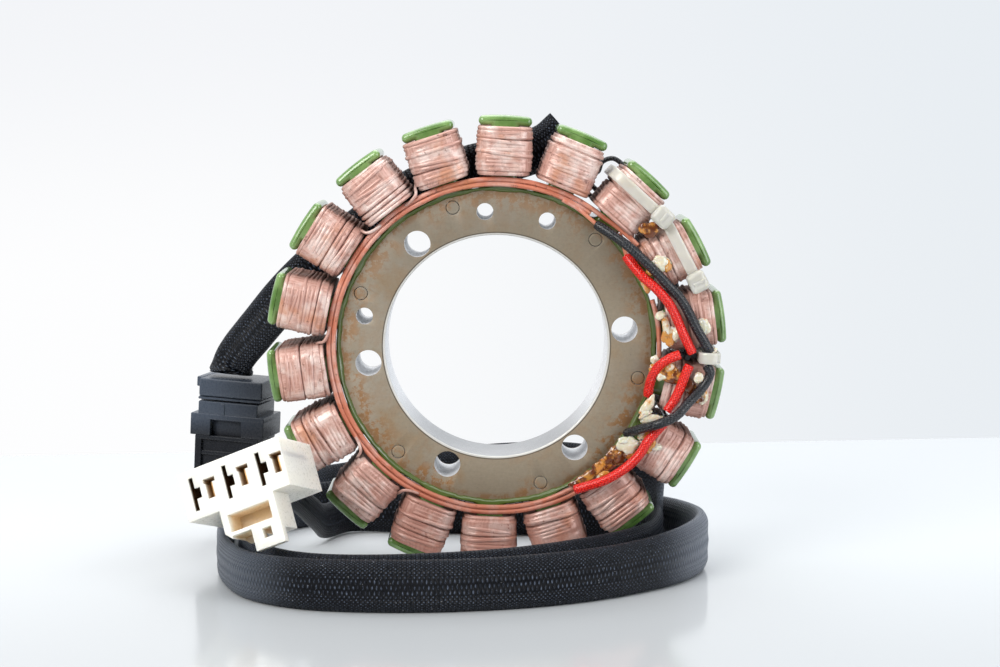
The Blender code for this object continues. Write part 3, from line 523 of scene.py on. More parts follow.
def copper_shader(name, dull, bright, haze_and_highlight):
    """Enamelled copper under a film of clear resin, streaked along each wire, with whitish haze that is partly a
    painted highlight, and painted shade on the sides behind the front and towards the bottom.
    """
    made = Shader(name, roughness=0.3, metallic=0.1)
    streak = made.noise(1.0, 3.0, 0.6, made.stretch((150.0, 1700.0, 1.0), made.uv()))
    cloud = made.noise(125.0, 3.0, 0.6)
    film = made.band(cloud, 0.44, 0.6) * made.band(made.noise(330.0, 3.0, 0.6), 0.36, 0.56, 0.3, 1.0)
    made.base = made.mix(made.band(streak, 0.28, 0.72), dull, bright)
    # Whitish patches: partly resin haze, partly a painted highlight where the lamps catch the resin.
    made.over(film * haze_and_highlight, (0.8, 0.69, 0.64))
    made.over(made.patches(90.0, 3.0, 0.6, 0.56, 0.72, 0.6), (0.5, 0.2, 0.09))
    made.over(made.patches(520.0, 4.0, 0.7, 0.61, 0.7, 0.8), (0.13, 0.045, 0.03))
    _, depth, rise = made.split(made.place)
    # Painted shade on the coil's sides behind its front face; they are rougher there too.
    shaded_sides = made.band(depth, -13.8 * MM, -9.5 * MM)
    made.over(shaded_sides * 0.62, (0.1, 0.036, 0.024))
    # Painted shade: darker towards the bottom of the ring.
    made.over(made.band(rise, 38.0 * MM, 4.0 * MM, 0.0, 0.62), (0.24, 0.085, 0.055))
    return made.done(Roughness=made.band(cloud, 0.3, 0.8, 0.36, 0.2) + shaded_sides * 0.42,
                     Normal=made.bump(made.noise(420.0) + streak * 0.4, 0.15 * MM, 0.45))


def sleeve_shader(name, dark, bright, sheen):
    """Woven tubing under a thin film of resin, its strand crests painted lighter as a painted highlight."""
    made = Shader(name, coat=sheen, specular=0.4)
    height, crest = made.weave(0.9 * MM)
    # The strand crests are painted lighter, a painted highlight on the weave.
    made.base = made.mix(made.band(crest, 0.2, 0.9), dark, bright)
    made.over(made.patches(260.0, 3.0, 0.55, 0.5, 0.7, 0.55), dark)
    film = made.noise(1.0, 3.0, 0.6, made.stretch((260.0, 900.0, 1.0), made.uv()))
    return made.done(Roughness=made.band(film, 0.35, 0.65, 0.16, 0.42),
                     Normal=made.bump(height + film * 2.6, 0.2 * MM, 0.8))


def braid_shader():
    """A dense black braid with painted glints where its strands cross, and a painted sheen at its bends and where it
    climbs.
    """
    made = Shader("braided_lead", specular=0.16)
    height, crest = made.weave(1.15 * MM)
    fuzz = made.noise(1.0, 3.0, 0.7, made.stretch((2200.0, 2200.0, 1.0), made.uv()))
    glint = made.band(crest, 0.5, 0.95) * made.band(fuzz, 0.4, 0.7)
    made.base = made.mix(glint, (0.001, 0.0014, 0.003), (0.105, 0.13, 0.18))
    x, _, z = made.split(made.place)
    # Painted sheen where the lead bends at its ends and where it climbs behind the ring, brightest at the right-hand
    # bend.
    bend_sheen = made.band(abs(x + 5.0 * MM), 44.0 * MM, 64.0 * MM) * made.band(z, 20.0 * MM, 16.0 * MM)
    climb = made.band(x, 33.0 * MM, 40.0 * MM) * made.band(z, 14.0 * MM, 18.0 * MM, 0.0, 0.8)
    share = made.math("MULTIPLY", bend_sheen + climb, made.band(height, 0.2, 0.9, 0.35, 0.9), clamp=True)
    made.over(share, made.mix(made.band(x, 40.0 * MM, 52.0 * MM), (0.094, 0.11, 0.138), (0.19, 0.21, 0.25)))
    made.over(made.patches(1400.0, 2.0, 0.5, 0.735, 0.77, 0.8), (0.3, 0.31, 0.33))
    return made.done(Roughness=made.band(fuzz, 0.3, 0.7, 0.3, 0.52), Normal=made.bump(height, 0.2 * MM, 0.8),
                     Sheen_Weight=0.02, Sheen_Roughness=0.35, Sheen_Tint=(0.8, 0.88, 1.0))


def resin_shader():
    """Drips of set resin; the uv map's first value says how burnt and amber each one is."""
    made = Shader("clear_resin", roughness=0.14, coat=0.5, coat_roughness=0.04)
    cloud = made.noise(420.0, 4.0, 0.6)
    burnt = made.split(made.uv())[0]
    share = made.math("ADD", burnt, (cloud - 0.5) * 1.7, clamp=True)
    pale = made.mix(made.patches(1500.0, 2.0, 0.5, 0.4, 0.7), (0.76, 0.69, 0.5), (0.86, 0.83, 0.72))
    warm = made.mix(made.band(share, 0.74, 1.0), (0.68, 0.29, 0.05), (0.15, 0.04, 0.01))
    made.base = made.mix(made.band(share, 0.3, 0.58), pale, warm)
    return made.done(Subsurface_Weight=0.3, Subsurface_Radius=(0.002, 0.0012, 0.0006), Subsurface_Scale=0.5,
                     Transmission_Weight=0.2, Normal=made.bump(cloud, 0.4 * MM, 0.45))


def nylon_shader():
    """Cloudy natural nylon with brownish stains."""
    made = Shader("natural_nylon", roughness=0.34, coat=0.15, coat_roughness=0.12)
    made.base = made.mix(made.noise(240.0, 3.0, 0.5), (0.7, 0.68, 0.6), (0.86, 0.85, 0.79))
    made.over(made.patches(130.0, 3.0, 0.55, 0.58, 0.74, 0.4), (0.7, 0.52, 0.3))
    return made.done(Subsurface_Weight=0.25, Subsurface_Radius=(0.003, 0.003, 0.002), Subsurface_Scale=0.6,
                     Transmission_Weight=0.5, Normal=made.bump(made.noise(700.0, 2.0), 0.1 * MM, 0.45))


def black_plastic_shader():
    """Satin moulding, with painted light on the cap's upper left."""
    made = Shader("black_plastic", specular=0.35)
    x, _, z = made.split(made.place)
    broad = made.noise(90.0, 3.0, 0.5)
    # Painted light: the cap's upper left is painted paler, fading to the right.
    upper_left_light = made.band(z, 31.0 * MM, 39.0 * MM) * made.band(x, -85.0 * MM, -66.0 * MM, 1.0, 0.3)
    made.base = made.mix(broad, (0.0035, 0.0045, 0.0075), (0.008, 0.0095, 0.014))
    made.over(upper_left_light, (0.052, 0.066, 0.092))
    return made.done(Roughness=made.band(made.noise(1800.0, 3.0, 0.6), 0.3, 0.8, 0.24, 0.36),
                     Normal=made.bump(broad, 0.2 * MM, 0.2))


def ivory_shader():
    """Ivory moulding; the uv map holds depth in metres, and the kind of hollow a wall belongs to."""
    made = Shader("ivory_plastic", specular=0.45)
    depth, kind, _ = made.split(made.uv())
    broad = made.noise(70.0, 3.0, 0.5)
    # Hollows are painted by depth: painted shade deepening into the slots, brass-brown in the pockets, and a painted
    # amber glow of light through the nylon in the latch's recess.
    wide = made.band(kind, 0.15, 0.25)
    inner = made.mix(wide, (0.056, 0.026, 0.01), (0.55, 0.3, 0.11))
    inner = made.mix(made.band(kind, 0.25, 0.35), inner, (0.98, 0.91, 0.7))
    narrow = (1.0 - wide) * made.band(depth, 0.1 * MM, 1.1 * MM)
    shade = wide * made.band(depth, 0.2 * MM, 3.2 * MM) + narrow
    made.base = made.mix(broad, (0.73, 0.715, 0.64), (0.79, 0.775, 0.705))
    made.over(made.band(kind, 0.05, 0.1) * shade, inner)
    return made.done(Subsurface_Weight=0.5, Subsurface_Radius=(0.004, 0.0036, 0.003), Subsurface_Scale=1.0,
                     Roughness=made.band(made.noise(1500.0, 2.0), 0.3, 0.8, 0.26, 0.4),
                     Normal=made.bump(broad, 0.2 * MM, 0.2))


def brass_shader():
    """Bare contact metal."""
    made = Shader("contact_brass", roughness=0.32, metallic=0.6)
    made.base = made.mix(made.noise(400.0), (0.62, 0.36, 0.13), (0.42, 0.22, 0.07))
    return made.done(Normal=made.bump(made.noise(1200.0, 2.0), 0.03 * MM, 0.4))


# Flat braided leads: x, y, z and, for lead B, the share of its full section

LEAD_A_ROUTE = (
    (19.0, 19.3, 118.6), (14.0, 19.2, 114.4), (2.4, 18.3, 110.3), (-7.4, 17.9, 108.2), (-23.2, 17.9, 101.6),
    (-36.1, 17.9, 92.2), (-51.0, 17.9, 80.4), (-60.7, 19.3, 70.6), (-68.6, 23.2, 61.4), (-73.4, 26.2, 55.6),
    (-75.5, 27.6, 52.2), (-75.8, 27.7, 49.3),
)
LEAD_B_ROUTE = (
    (33.0, 18.8, 33.0, 0.55), (42.0, 18.9, 20.6, 0.76), (44.6, 12.6, 9.2, 0.85), (43.6, 0.0, 7.1, 0.86),
    (36.6, -17.4, 7.1, 0.86), (3.6, -41.6, 6.9, 0.85), (-36.0, -47.4, 6.6, 0.82), (-53.2, -40.2, 6.4, 0.79),
    (-63.8, -26.0, 6.4, 0.79), (-68.2, -8.0, 6.5, 0.8), (-68.4, 32.0, 6.6, 0.82), (-59.6, 48.0, 6.6, 0.82),
    (-18.0, 66.0, 6.6, 0.82), (30.0, 87.0, 6.6, 0.82), (39.0, 106.0, 6.6, 0.82), (24.0, 126.0, 6.6, 0.82),
    (0.0, 124.0, 6.6, 0.82), (-54.0, 81.0, 6.6, 0.82), (-72.6, 56.0, 6.6, 0.82), (-76.6, 32.0, 6.6, 0.82),
    (-75.4, 10.0, 6.6, 0.82), (-74.0, -8.0, 6.5, 0.8), (-71.0, -24.6, 6.4, 0.79), (-63.0, -41.4, 6.4, 0.79),
    (-49.0, -51.4, 6.6, 0.82), (-28.0, -55.0, 6.8, 0.84), (-6.0, -53.4, 6.8, 0.84), (15.0, -47.4, 6.9, 0.86),
    (34.0, -36.4, 7.0, 0.87), (49.2, -21.2, 7.6, 0.94), (55.6, -5.0, 8.0, 0.99), (51.4, 13.0, 7.8, 0.96),
    (40.0, 31.0, 7.0, 0.87), (18.0, 36.8, 6.6, 0.82), (-29.0, 42.0, 6.4, 0.79), (-42.6, 42.0, 6.2, 0.74),
    (-49.4, 29.0, 6.2, 0.64), (-51.4, 13.4, 11.6, 0.56), (-56.38, -9.23, 22.24, 0.52),
    (-60.53, -19.71, 25.31, 0.52),
)


def flat_lead(letter, route, wide, parts, shader):
    """A flat braided sleeve round three wires; each route point holds x, y, z and a share of the full section."""
    path = smooth_route(route, parts)
    shares = path[:, 3]
    path = path[:, :3]
    side, high = frames(path, up=(0, 0, 1))
    turns = np.linspace(0, 2 * math.pi, BRAID_POINTS, endpoint=False) + math.pi / 2
    cos, sin = np.cos(turns), np.sin(turns)
    flat = np.sign(sin) * np.abs(sin) ** (2 / 3.4)
    thin = np.sign(cos) * np.abs(cos) ** (2 / 2.6)
    lumps = 1 + 0.05 * np.cos(flat * 3 * math.pi)
    steps = np.concatenate([[0], np.cumsum(np.linalg.norm(np.diff(path, axis=0), axis=1))])
    rows = []
    for index, centre in enumerate(path):
        share, step = shares[index], steps[index]
        drift = 0.1 * noise.noise(Vector((step * 0.05, 3.1, 0)))
        ripple = np.array([0.05 * noise.noise(Vector((step * 0.16, value * 2.0, 9.0))) for value in flat])
        across = (flat * wide / 2 * (1 - 0.02 * ripple)) * share
        thick = thin * LEAD_THICK / 2 * (lumps - 0.06 + drift * 0.4 + 0.6 * ripple) * share
        rows.append(centre + across[:, None] * high[index] + thick[:, None] * side[index])
    name = f"braided_lead_{letter}"
    data = Solid().grid(rows, wide=2 * (wide - LEAD_THICK) + math.pi * LEAD_THICK).mesh(name)
    return place(name, data, shader, "black_braid", [f"lead_{letter}_sleeve"]), path, float(steps[-1])


def add_leads(shader):
    route_a = [(*point, 1.0) for point in LEAD_A_ROUTE]
    return (flat_lead("a", route_a, LEAD_A_WIDE, 10, shader), flat_lead("b", LEAD_B_ROUTE, LEAD_B_WIDE, 14, shader))


def declare_leads(leads, plugs_a, plugs_b):
    for (lead, path, length), plugs in zip(leads, (plugs_a, plugs_b)):
        tuple(path[0] * MM)
        length * MM
        [tuple(point * MM) for point in path[::2]]


# Windings

def coil_section(half_y, half_s, corner):
    """(y, s) points round a rounded rectangle, evenly spaced, with its front and back bowed out a little."""
    outline = rounded_loop(-half_y, half_y, -half_s, half_s, corner, count=6)
    outline = np.vstack([outline, outline[:1]])
    lengths = np.concatenate([[0], np.cumsum(np.linalg.norm(np.diff(outline, axis=0), axis=1))])
    at = np.linspace(0, lengths[-1], COIL_POINTS, endpoint=False)
    y, s = (np.interp(at, lengths, outline[:, axis]) for axis in (0, 1))
    bow = COIL_CROWN * np.clip(1 - (s / half_s) ** 2, 0, 1)
    return y + np.sign(y) * bow * (np.abs(y) > half_y - corner), s


def winding(solid, rng, to_world, turns):
    """One layer of turns as one long wire that climbs behind the coil; turns hold (place, step in, slant, rise)."""
    half_y = COIL_FACE - TURN_RADIUS - 0.5
    half_s = COIL_HALF - TURN_RADIUS - 0.1
    y, s = coil_section(half_y, half_s, TURN_CORNER)
    front = np.clip(-y / half_y, 0, 1)
    path = []
    seed = rng.random() * 50
    for turn, (radial, step_in, slant, rise) in enumerate(turns):
        following = turns[min(turn + 1, len(turns) - 1)][0]
        out = rng.uniform(-1, 1) * TURN_STRAY - step_in
        tilt = rng.uniform(-1, 1) * TURN_STRAY + slant
        for index in range(COIL_POINTS):
            share = index / COIL_POINTS
            climb = (following - radial) * (share - 0.75) / 0.25 if share > 0.75 else 0.0
            sway = TURN_STRAY * noise.noise(Vector((share * 5.0, turn * 1.7, seed)))
            lift = out + sway + rise * front[index]
            r = radial + climb + tilt * s[index] / half_s * front[index] + sway * 0.7
            path.append((r, y[index] * (1 + lift / half_y), s[index] * (1 + (out + sway) / half_s)))
    solid.tube(to_world(np.array(path)), TURN_RADIUS, sides=8, start=rng.uniform(0, 400))


def add_coil(index, shader, rng):
    """Twelve turns bedded in a shell of resin that sinks at a slit or two, and two crossing turns."""
    degrees = FIRST_POLE - POLE_STEP * index
    radial, around = bearing(degrees)

    def to_world(path):
        return CENTRE + path[:, :1] * radial + path[:, 1:2] * DEPTH + path[:, 2:3] * around

    solid = Solid()
    pitch = np.full(TURNS - 1, 1.0)
    for slit in rng.sample(range(1, TURNS - 2), rng.choice((1, 1, 2, 2))):
        pitch[slit] += rng.uniform(0.2, 0.55)
    pitch += np.array([rng.uniform(-0.07, 0.07) for _ in pitch])
    places = np.concatenate([[0], np.cumsum(pitch)])
    places = COIL_IN + TURN_RADIUS + places / places[-1] * (COIL_OUT + TURNS_PAST - COIL_IN - 2 * TURN_RADIUS)
    turns = [[place, 0.0, 0.0, 0.0] for place in places]
    turns[-1][1] = rng.choice((0.0, 0.2, 0.7))
    turns[-2][1] = rng.choice((0.0, 0.1, 0.35))
    turns[0][1] = rng.choice((0.2, 0.5, 0.9))
    for ragged in rng.sample(range(2, TURNS - 2), 3):
        turns[ragged][1] = rng.uniform(-0.3, 0.25)
    turns[1][1] = rng.choice((0.0, 0.2, 0.4))
    for crossing in rng.sample(range(2, TURNS - 2), 2):
        turns[crossing][2:] = rng.choice((-0.75, -0.5, 0.5, 0.75)), 0.28
    winding(solid, rng, to_world, turns)
    gaps = [(places[k] + places[k + 1]) / 2 for k in range(TURNS - 1) if pitch[k] > 1.14]
    shell = []
    seed = rng.random() * 50
    for r in np.arange(COIL_IN + 0.35, COIL_OUT + SHELL_PAST, 0.2):
        dip = 0.2 + sum(0.95 * math.exp(-((r - gap) / 0.2) ** 2) for gap in gaps)
        if r < COIL_IN + 1.2 or r > COIL_OUT:
            dip += 0.45
        y, s = coil_section(COIL_FACE - 0.5 - dip, COIL_HALF - 0.1 - dip, SHELL_CORNER)
        uneven = [1 + 0.012 * noise.noise(Vector((a * 0.2, b * 0.3, r * 0.8 + seed))) for a, b in zip(y, s)]
        shell.append(to_world(np.stack([np.full(COIL_POINTS, r), y * uneven, s * uneven], 1)))
    solid.grid(shell)
    for side in (-1, 1) if 55 < degrees % 360 < 302 else ():
        for strand in range(rng.choice((0, 0, 1))):
            wide = 7.2 - 1.5 * strand + rng.uniform(-0.3, 0.3)
            out = COIL_IN + 1.6 + 1.1 * strand
            route = [
                (out + 1.0, -9.5 - strand, wide - 0.5), (out, -11.8 - strand * 0.6, wide),
                (COIL_IN + 0.2, -12.9 - strand * 0.4, wide + 0.6),
                (COIL_IN - 0.7, -12.7, wide + 2.6), (COIL_IN - 0.9, -12.2, wide + 4.6),
            ]
            route = [(r * math.cos(across / 46), y, side * r * math.sin(across / 46)) for r, y, across in route]
            solid.tube(to_world(smooth_route(route, 6)), LINK_RADIUS, sides=8, start=rng.uniform(0, 400))
    name = f"winding_{index + 1:02d}"
    place(name, solid.mesh(name), shader, "enamelled_copper", [f"coil_{index + 1:02d}"])


# Insulating coat with rounded shoes

def half_pole(offset, corner):
    """(radial, across) points of half a tooth with its shoe, from the yoke to the middle of the shoe's top."""
    pitch = math.pi / POLES
    yoke = YOKE + COAT_OUT + (offset - COAT_OUT) * 0.35
    tooth = TOOTH / 2 + offset
    under = SHOE_RADIUS - SHOE_THICK - offset + 1.0
    top = SHOE_RADIUS + offset
    shoe = SHOE_WIDTH / 2 + offset
    points = []
    for share in (0.0, 0.35, 0.7):
        across = tooth + (yoke * math.sin(pitch) - tooth) * (1 - share)
        points.append((math.sqrt(yoke**2 - across**2), -across))
    root = math.sqrt(yoke**2 - tooth**2)
    points += [(root + 0.25 * FILLET, -tooth - 0.35 * FILLET), (root + FILLET, -tooth)]
    points += [(under - 0.6, -tooth), (math.sqrt(under**2 - tooth**2), -tooth - 0.3)]
    corner = min(corner, (top - under) / 2 - 0.05)
    low = math.sqrt(under**2 - (shoe - corner) ** 2)
    high = math.sqrt(top**2 - (shoe - corner) ** 2)
    points.append((low, -(shoe - corner)))
    middle, half = (low + high) / 2, (high - low) / 2
    for step in range(1, 8):
        angle = math.radians(-90 + 180 * step / 8)
        points.append((middle + half * math.sin(angle), -(shoe - corner) - corner * math.cos(angle)))
    points.append((high, -(shoe - corner)))
    for share in (0.66, 0.33, 0.0):
        across = (shoe - corner) * share
        points.append((math.sqrt(top**2 - across**2), -across))
    return points


def ring_outline(offset, corner):
    half = half_pole(offset, corner)
    found = []
    for index in range(POLES):
        angle = math.radians(FIRST_POLE + POLE_STEP * index)
        for radial, across in half + [(r, -a) for r, a in half[-2:0:-1]]:
            found.append((radial * math.cos(angle) - across * math.sin(angle),
                          radial * math.sin(angle) + across * math.cos(angle)))
    return np.array(found)


def add_coat(shader):
    """The coat round the teeth, and a band on each face that ends unevenly on the plate."""
    solid = Solid()
    outside = STACK_HALF + COAT_OUT
    rows = []
    steps = 6
    levels = [(-outside + SHOE_ROUND * (1 - math.cos(a)), SHOE_ROUND * (1 - math.sin(a)))
              for a in (math.pi / 2 * step / steps for step in range(steps + 1))]
    levels += [(y, 0.0) for y in (-5.0, 0.0, 5.0)] + [(-y, inset) for y, inset in reversed(levels)]
    for y, inset in levels:
        outline = ring_outline(COAT_OUT - inset, 1.7 - inset * 0.4)
        rows.append(np.stack([outline[:, 0], np.full(len(outline), y), outline[:, 1] + AXIS_Z], 1))
    solid.grid(rows, caps=False)
    total = len(rows[0])
    per_pole = total // POLES
    last = (len(levels) - 1) * total
    arc = 24
    start = FIRST_POLE - 180 / POLES
    profile = ((42.15, outside, 0.0), (41.95, outside - 0.12, 0.1), (41.7, outside - 0.4, 0.25),
               (41.45, STACK_HALF + 0.12, 0.45), (41.4, STACK_HALF - 0.05, 0.45))
    for sign, edge in ((-1, 0), (1, last)):
        bands = []
        for radius, y, stray in profile:
            band = []
            for step in range(POLES * arc):
                degrees = start + 360 * step / (POLES * arc)
                wave = noise.noise(Vector((degrees * 0.11, 4.0 * sign, 1.0)))
                wave += 0.5 * noise.noise(Vector((degrees * 0.4, 2.0, sign)))
                band.append(polar(radius + stray * wave, degrees, sign * y))
            bands.append(band)
        first = solid.count
        solid.grid(bands, caps=False)
        for pole in range(POLES):
            outer = [edge + (pole * per_pole + step) % total for step in range(per_pole + 1)]
            inner = [first + (pole * arc + step) % (POLES * arc) for step in range(arc + 1)]
            solid.others.append(outer + inner[::-1])
    place("green_coat", solid.mesh("green_coat", sharp=50), shader, "green_epoxy", ["insulation_coating"])


# Steel plate with its bore and holes: bearings, radius of the circle they lie on, and their own radius

BOLTS = ((7.5, 127.5, 187.5, 247.5, 307.5), 34.5, 3.5)
PINS = ((94.8, 68.0, 167.0), 36.1, 2.25)
RIVETS = ((47.3, 107.4, 158.5, 227.2, 287.8, 347.3), 38.8, 1.85)


def mirrored(half):
    """A profile of (radius, y) from the front face, followed by the same towards the rear face."""
    return half + [(radius, -y) for radius, y in reversed(half)]


def add_stack(shader):
    face, outer = STACK_HALF, YOKE - 0.05
    profile = ((BORE + BORE_EDGE, -face), (outer, -face), (outer, face), (BORE + BORE_EDGE, face),
               (BORE + 0.12, face - 0.12), (BORE, face - BORE_EDGE), (BORE, BORE_EDGE - face),
               (BORE + 0.12, 0.12 - face))
    sides = 240
    rows = [[polar(radius, 360 * step / sides, y) for step in range(sides)] for radius, y in profile]
    body = link("steel_stack", Solid().grid(rows, closed=True).mesh("steel_stack"))
    work = bmesh.new()
    for degrees, circle, radius in (BOLTS, PINS, RIVETS):
        for degree in degrees:
            centre = polar(circle, degree, 0)
            cut = Solid().grid([disc(centre, radius, y, 48) for y in (-face - 2, face + 2)]).mesh("hole")
            work.from_mesh(cut)
            bpy.data.meshes.remove(cut)
    data = bpy.data.meshes.new("holes")
    work.to_mesh(data)
    work.free()
    holes = link("holes", data)
    cut = body.modifiers.new("cut", "BOOLEAN")
    cut.operation = "DIFFERENCE"
    cut.solver = "EXACT"
    cut.object = holes
    data = bevelled(body, 0.22, 2, 50, 28)
    bpy.data.objects.remove(holes)
    place("steel_plate", data, shader, "silicon_steel", ["core_stack"])
    profile = mirrored([(0.9, face + 0.02), (1.45, face), (1.66, face - 0.06), (1.7, face - 0.3)])
    for number, degree in enumerate(RIVETS[0], 1):
        centre = polar(RIVETS[1], degree, 0)
        data = Solid().grid([disc(centre, radius, y, 32) for radius, y in profile]).mesh("rivet", sharp=40)
        place(f"rivet_{number}", data, shader, "silicon_steel", [f"stack_rivet_{number}"])


# Wires round the yoke: the bearings of each strand's runs, and ends as (bearing, radius, y)

JUMPER_SPANS = (((36.0, 318.0),), ((55.0, 300.0), (-4.0, 17.0)))
JUMPER_ENDS = (
    ((66.0, 42.9, -11.9), (60.0, 42.7, -12.2), (55.0, 42.3, -12.6), (50.4, 42.1, -12.8)),
    ((43.0, 44.6, -11.9), (39.5, 43.4, -12.2), (35.0, 42.1, -12.8)),
    ((-26.0, 45.6, -11.9), (-21.0, 43.8, -12.2), (-17.0, 42.4, -12.7)),
)


def add_jumpers(shader):
    """Two strands side by side, and the ends that run on into the sleeves."""
    for number, name in enumerate(("jumper_wire_outer", "jumper_wire_inner")):
        solid = Solid()
        for low, high in JUMPER_SPANS[number]:
            path = []
            for degree in np.linspace(low, high, max(20, int(high - low))):
                wave, lift = (0.16 * noise.noise(Vector((degree * rate, number * 7.0, seed)))
                              for rate, seed in ((0.09, 2.0), (0.07, 8.0)))
                stray = 1.5 * max(0.0, (50 - degree) / 14) if number == 0 else 0.0
                path.append(polar(JUMPER_RADII[number] + wave + stray, degree, -JUMPER_Y + lift - stray * 0.9))
            solid.tube(path, JUMPER_THICK, sides=12)
        for ends in JUMPER_ENDS if number == 0 else ():
            path = [polar(radius, degree, y) for degree, radius, y in ends]
            solid.tube(smooth_route(path, 6), JUMPER_END_THICK)
        place(name + "_enamel", solid.mesh(name), shader, "enamelled_copper", [name])


# Sleeves and wires as (bearing, share of the coil's height, share of the way up or back)

RED_SLEEVES = (
    ((35.4, -0.3, 0.1), (26.7, -0.22, 0.8), (20.3, -0.03, 1.05), (14.3, 0.14, 1.05), (4.7, 0.33, 1.05),
     (-1.2, 0.53, 1.05)),
    ((-1.6, 0.25, 1.05), (-3.2, 0.0, 1.05), (-6.5, -0.22, 0.85), (-11.2, -0.31, 0.5), (-17.8, -0.28, 0.1)),
    ((-4.7, 0.48, 1.05), (-6.9, 0.42, 1.05), (-11.6, 0.35, 1.05), (-16.6, 0.28, 1.05), (-20.1, 0.21, 1.05)),
    ((-23.6, 0.27, 1.05), (-30.8, 0.13, 1.05), (-36.7, 0.14, 1.05), (-43.3, 0.09, 1.05), (-50.6, -0.02, 1.05),
     (-57.2, -0.15, 0.9), (-61.1, -0.2, 0.75)),
)
BLACK_SLEEVES = (
    ((51.2, -0.3, 0.1), (44.6, -0.23, 0.62), (38.1, -0.13, 1.05), (29.1, 0.02, 1.05), (22.3, 0.18, 1.05),
     (14.6, 0.42, 1.05), (5.2, 0.66, 1.05), (-0.9, 0.93, 1.05)),
    ((-4.4, 0.86, 1.05), (-6.4, 0.95, 1.05), (-9.9, 0.86, 1.08), (-15.3, 0.6, 1.4), (-20.3, 0.4, 1.76),
     (-24.7, 0.1, 1.76), (-28.6, -0.13, 1.08), (-33.8, -0.34, 0.1)),
)
LEAD_A_WIRES = (
    ((-0.95, 0.91, -1.0), (-0.95, 0.91, 0.8), (-0.2, 0.9, 1.02), (3.5, 0.8, 1.02), (7.7, 0.64, 1.0),
     (18.0, 0.54, 1.0), (27.7, 0.54, 1.0), (38.0, 0.58, 1.0), (44.0, 0.76, 1.0), (49.0, 1.04, 1.0),
     (53.0, 1.13, 1.0), (56.8, 1.13, 1.0), (58.8, 0.92, 1.0), (58.4, 0.68, 1.0), (59.8, 0.58, 1.0),
     (63.4, 0.74, 1.0), (67.5, 1.0, 1.0)),
    ((-1.9, 0.575, -1.0), (-2.3, 0.575, 0.8), (-1.4, 0.57, 1.02), (2.5, 0.5, 1.02), (7.7, 0.4, 1.0),
     (27.7, 0.31, 1.0), (47.7, 0.28, 1.0), (57.0, 0.32, 1.0), (63.0, 0.5, 1.0), (68.5, 0.8, 1.0)),
    ((-2.3, 0.285, -1.0), (-2.3, 0.285, 0.8), (-1.4, 0.28, 1.02), (2.5, 0.22, 1.02), (7.7, 0.16, 1.0),
     (27.7, 0.09, 1.0), (47.7, 0.08, 1.0), (57.0, 0.12, 1.0), (63.0, 0.28, 1.0), (69.5, 0.6, 1.0)),
)
LEAD_B_WIRES = (
    ((-3.4, 0.91, -1.0), (-3.4, 0.91, 0.8), (-4.4, 0.9, 1.02), (-8.0, 0.84, 1.02), (-14.0, 0.72, 1.0),
     (-26.0, 0.42, 1.0), (-32.5, 0.18, 1.0), (-36.6, 0.02, 1.0)),
    ((-2.8, 0.43, -1.0), (-2.3, 0.43, 0.0), (-2.3, 0.43, 0.8), (-3.2, 0.42, 1.02), (-7.5, 0.38, 1.02),
     (-14.0, 0.26, 1.0), (-22.3, 0.06, 1.0), (-30.0, -0.15, 1.0), (-37.0, -0.33, 1.0), (-41.7, -0.42, 1.0)),
    ((-22.3, 0.26, -1.0), (-22.3, 0.26, 0.8), (-23.0, 0.25, 1.02), (-28.0, 0.1, 1.02), (-34.0, -0.07, 1.0),
     (-38.9, -0.22, 1.0)),
)


def reach(share):
    return COIL_IN + (COIL_OUT - COIL_IN) * share


def sleeve_path(shares):
    return smooth_route(
        [polar(reach(r), degree, -(SLEEVE_LOW + (SLEEVE_HIGH - SLEEVE_LOW) * rise)) for degree, r, rise in shares], 9)


def wire_path(shares):
    return smooth_route(
        [polar(reach(r), degree, way * (COIL_FACE + 0.15 if way < 0 else REAR_LAY)) for degree, r, way in shares], 8)


def add_sleeves(red, black, wire):
    for colour, shader, sleeves in (("red", red, RED_SLEEVES), ("black", black, BLACK_SLEEVES)):
        for number, shares in enumerate(sleeves, 1):
            path = sleeve_path(shares)
            swell = [1 + 0.06 * noise.noise(Vector((step * 0.11, number * 3.0, 5.0)))
                     + 0.04 * noise.noise(Vector((step * 0.5, number * 5.0, 1.0))) for step in range(len(path))]
            swell[0] *= 0.88
            swell[-1] *= 0.88
            name = f"{colour}_sleeve_{number}"
            data = Solid().tube(path, SLEEVE_WIDE / 2, sides=20, taper=swell).mesh(name, sharp=60)
            place(name + "_woven", data, shader, f"{colour}_sleeving", [name])
    for lead, routes in (("a", LEAD_A_WIRES), ("b", LEAD_B_WIRES)):
        for number, shares in enumerate(routes, 1):
            name = f"lead_{lead}_wire_{number}"
            data = Solid().tube(wire_path(shares), WIRE_WIDE / 2, sides=12).mesh(name, sharp=60)
            place(name + "_cover", data, wire, "black_sleeving", [name])


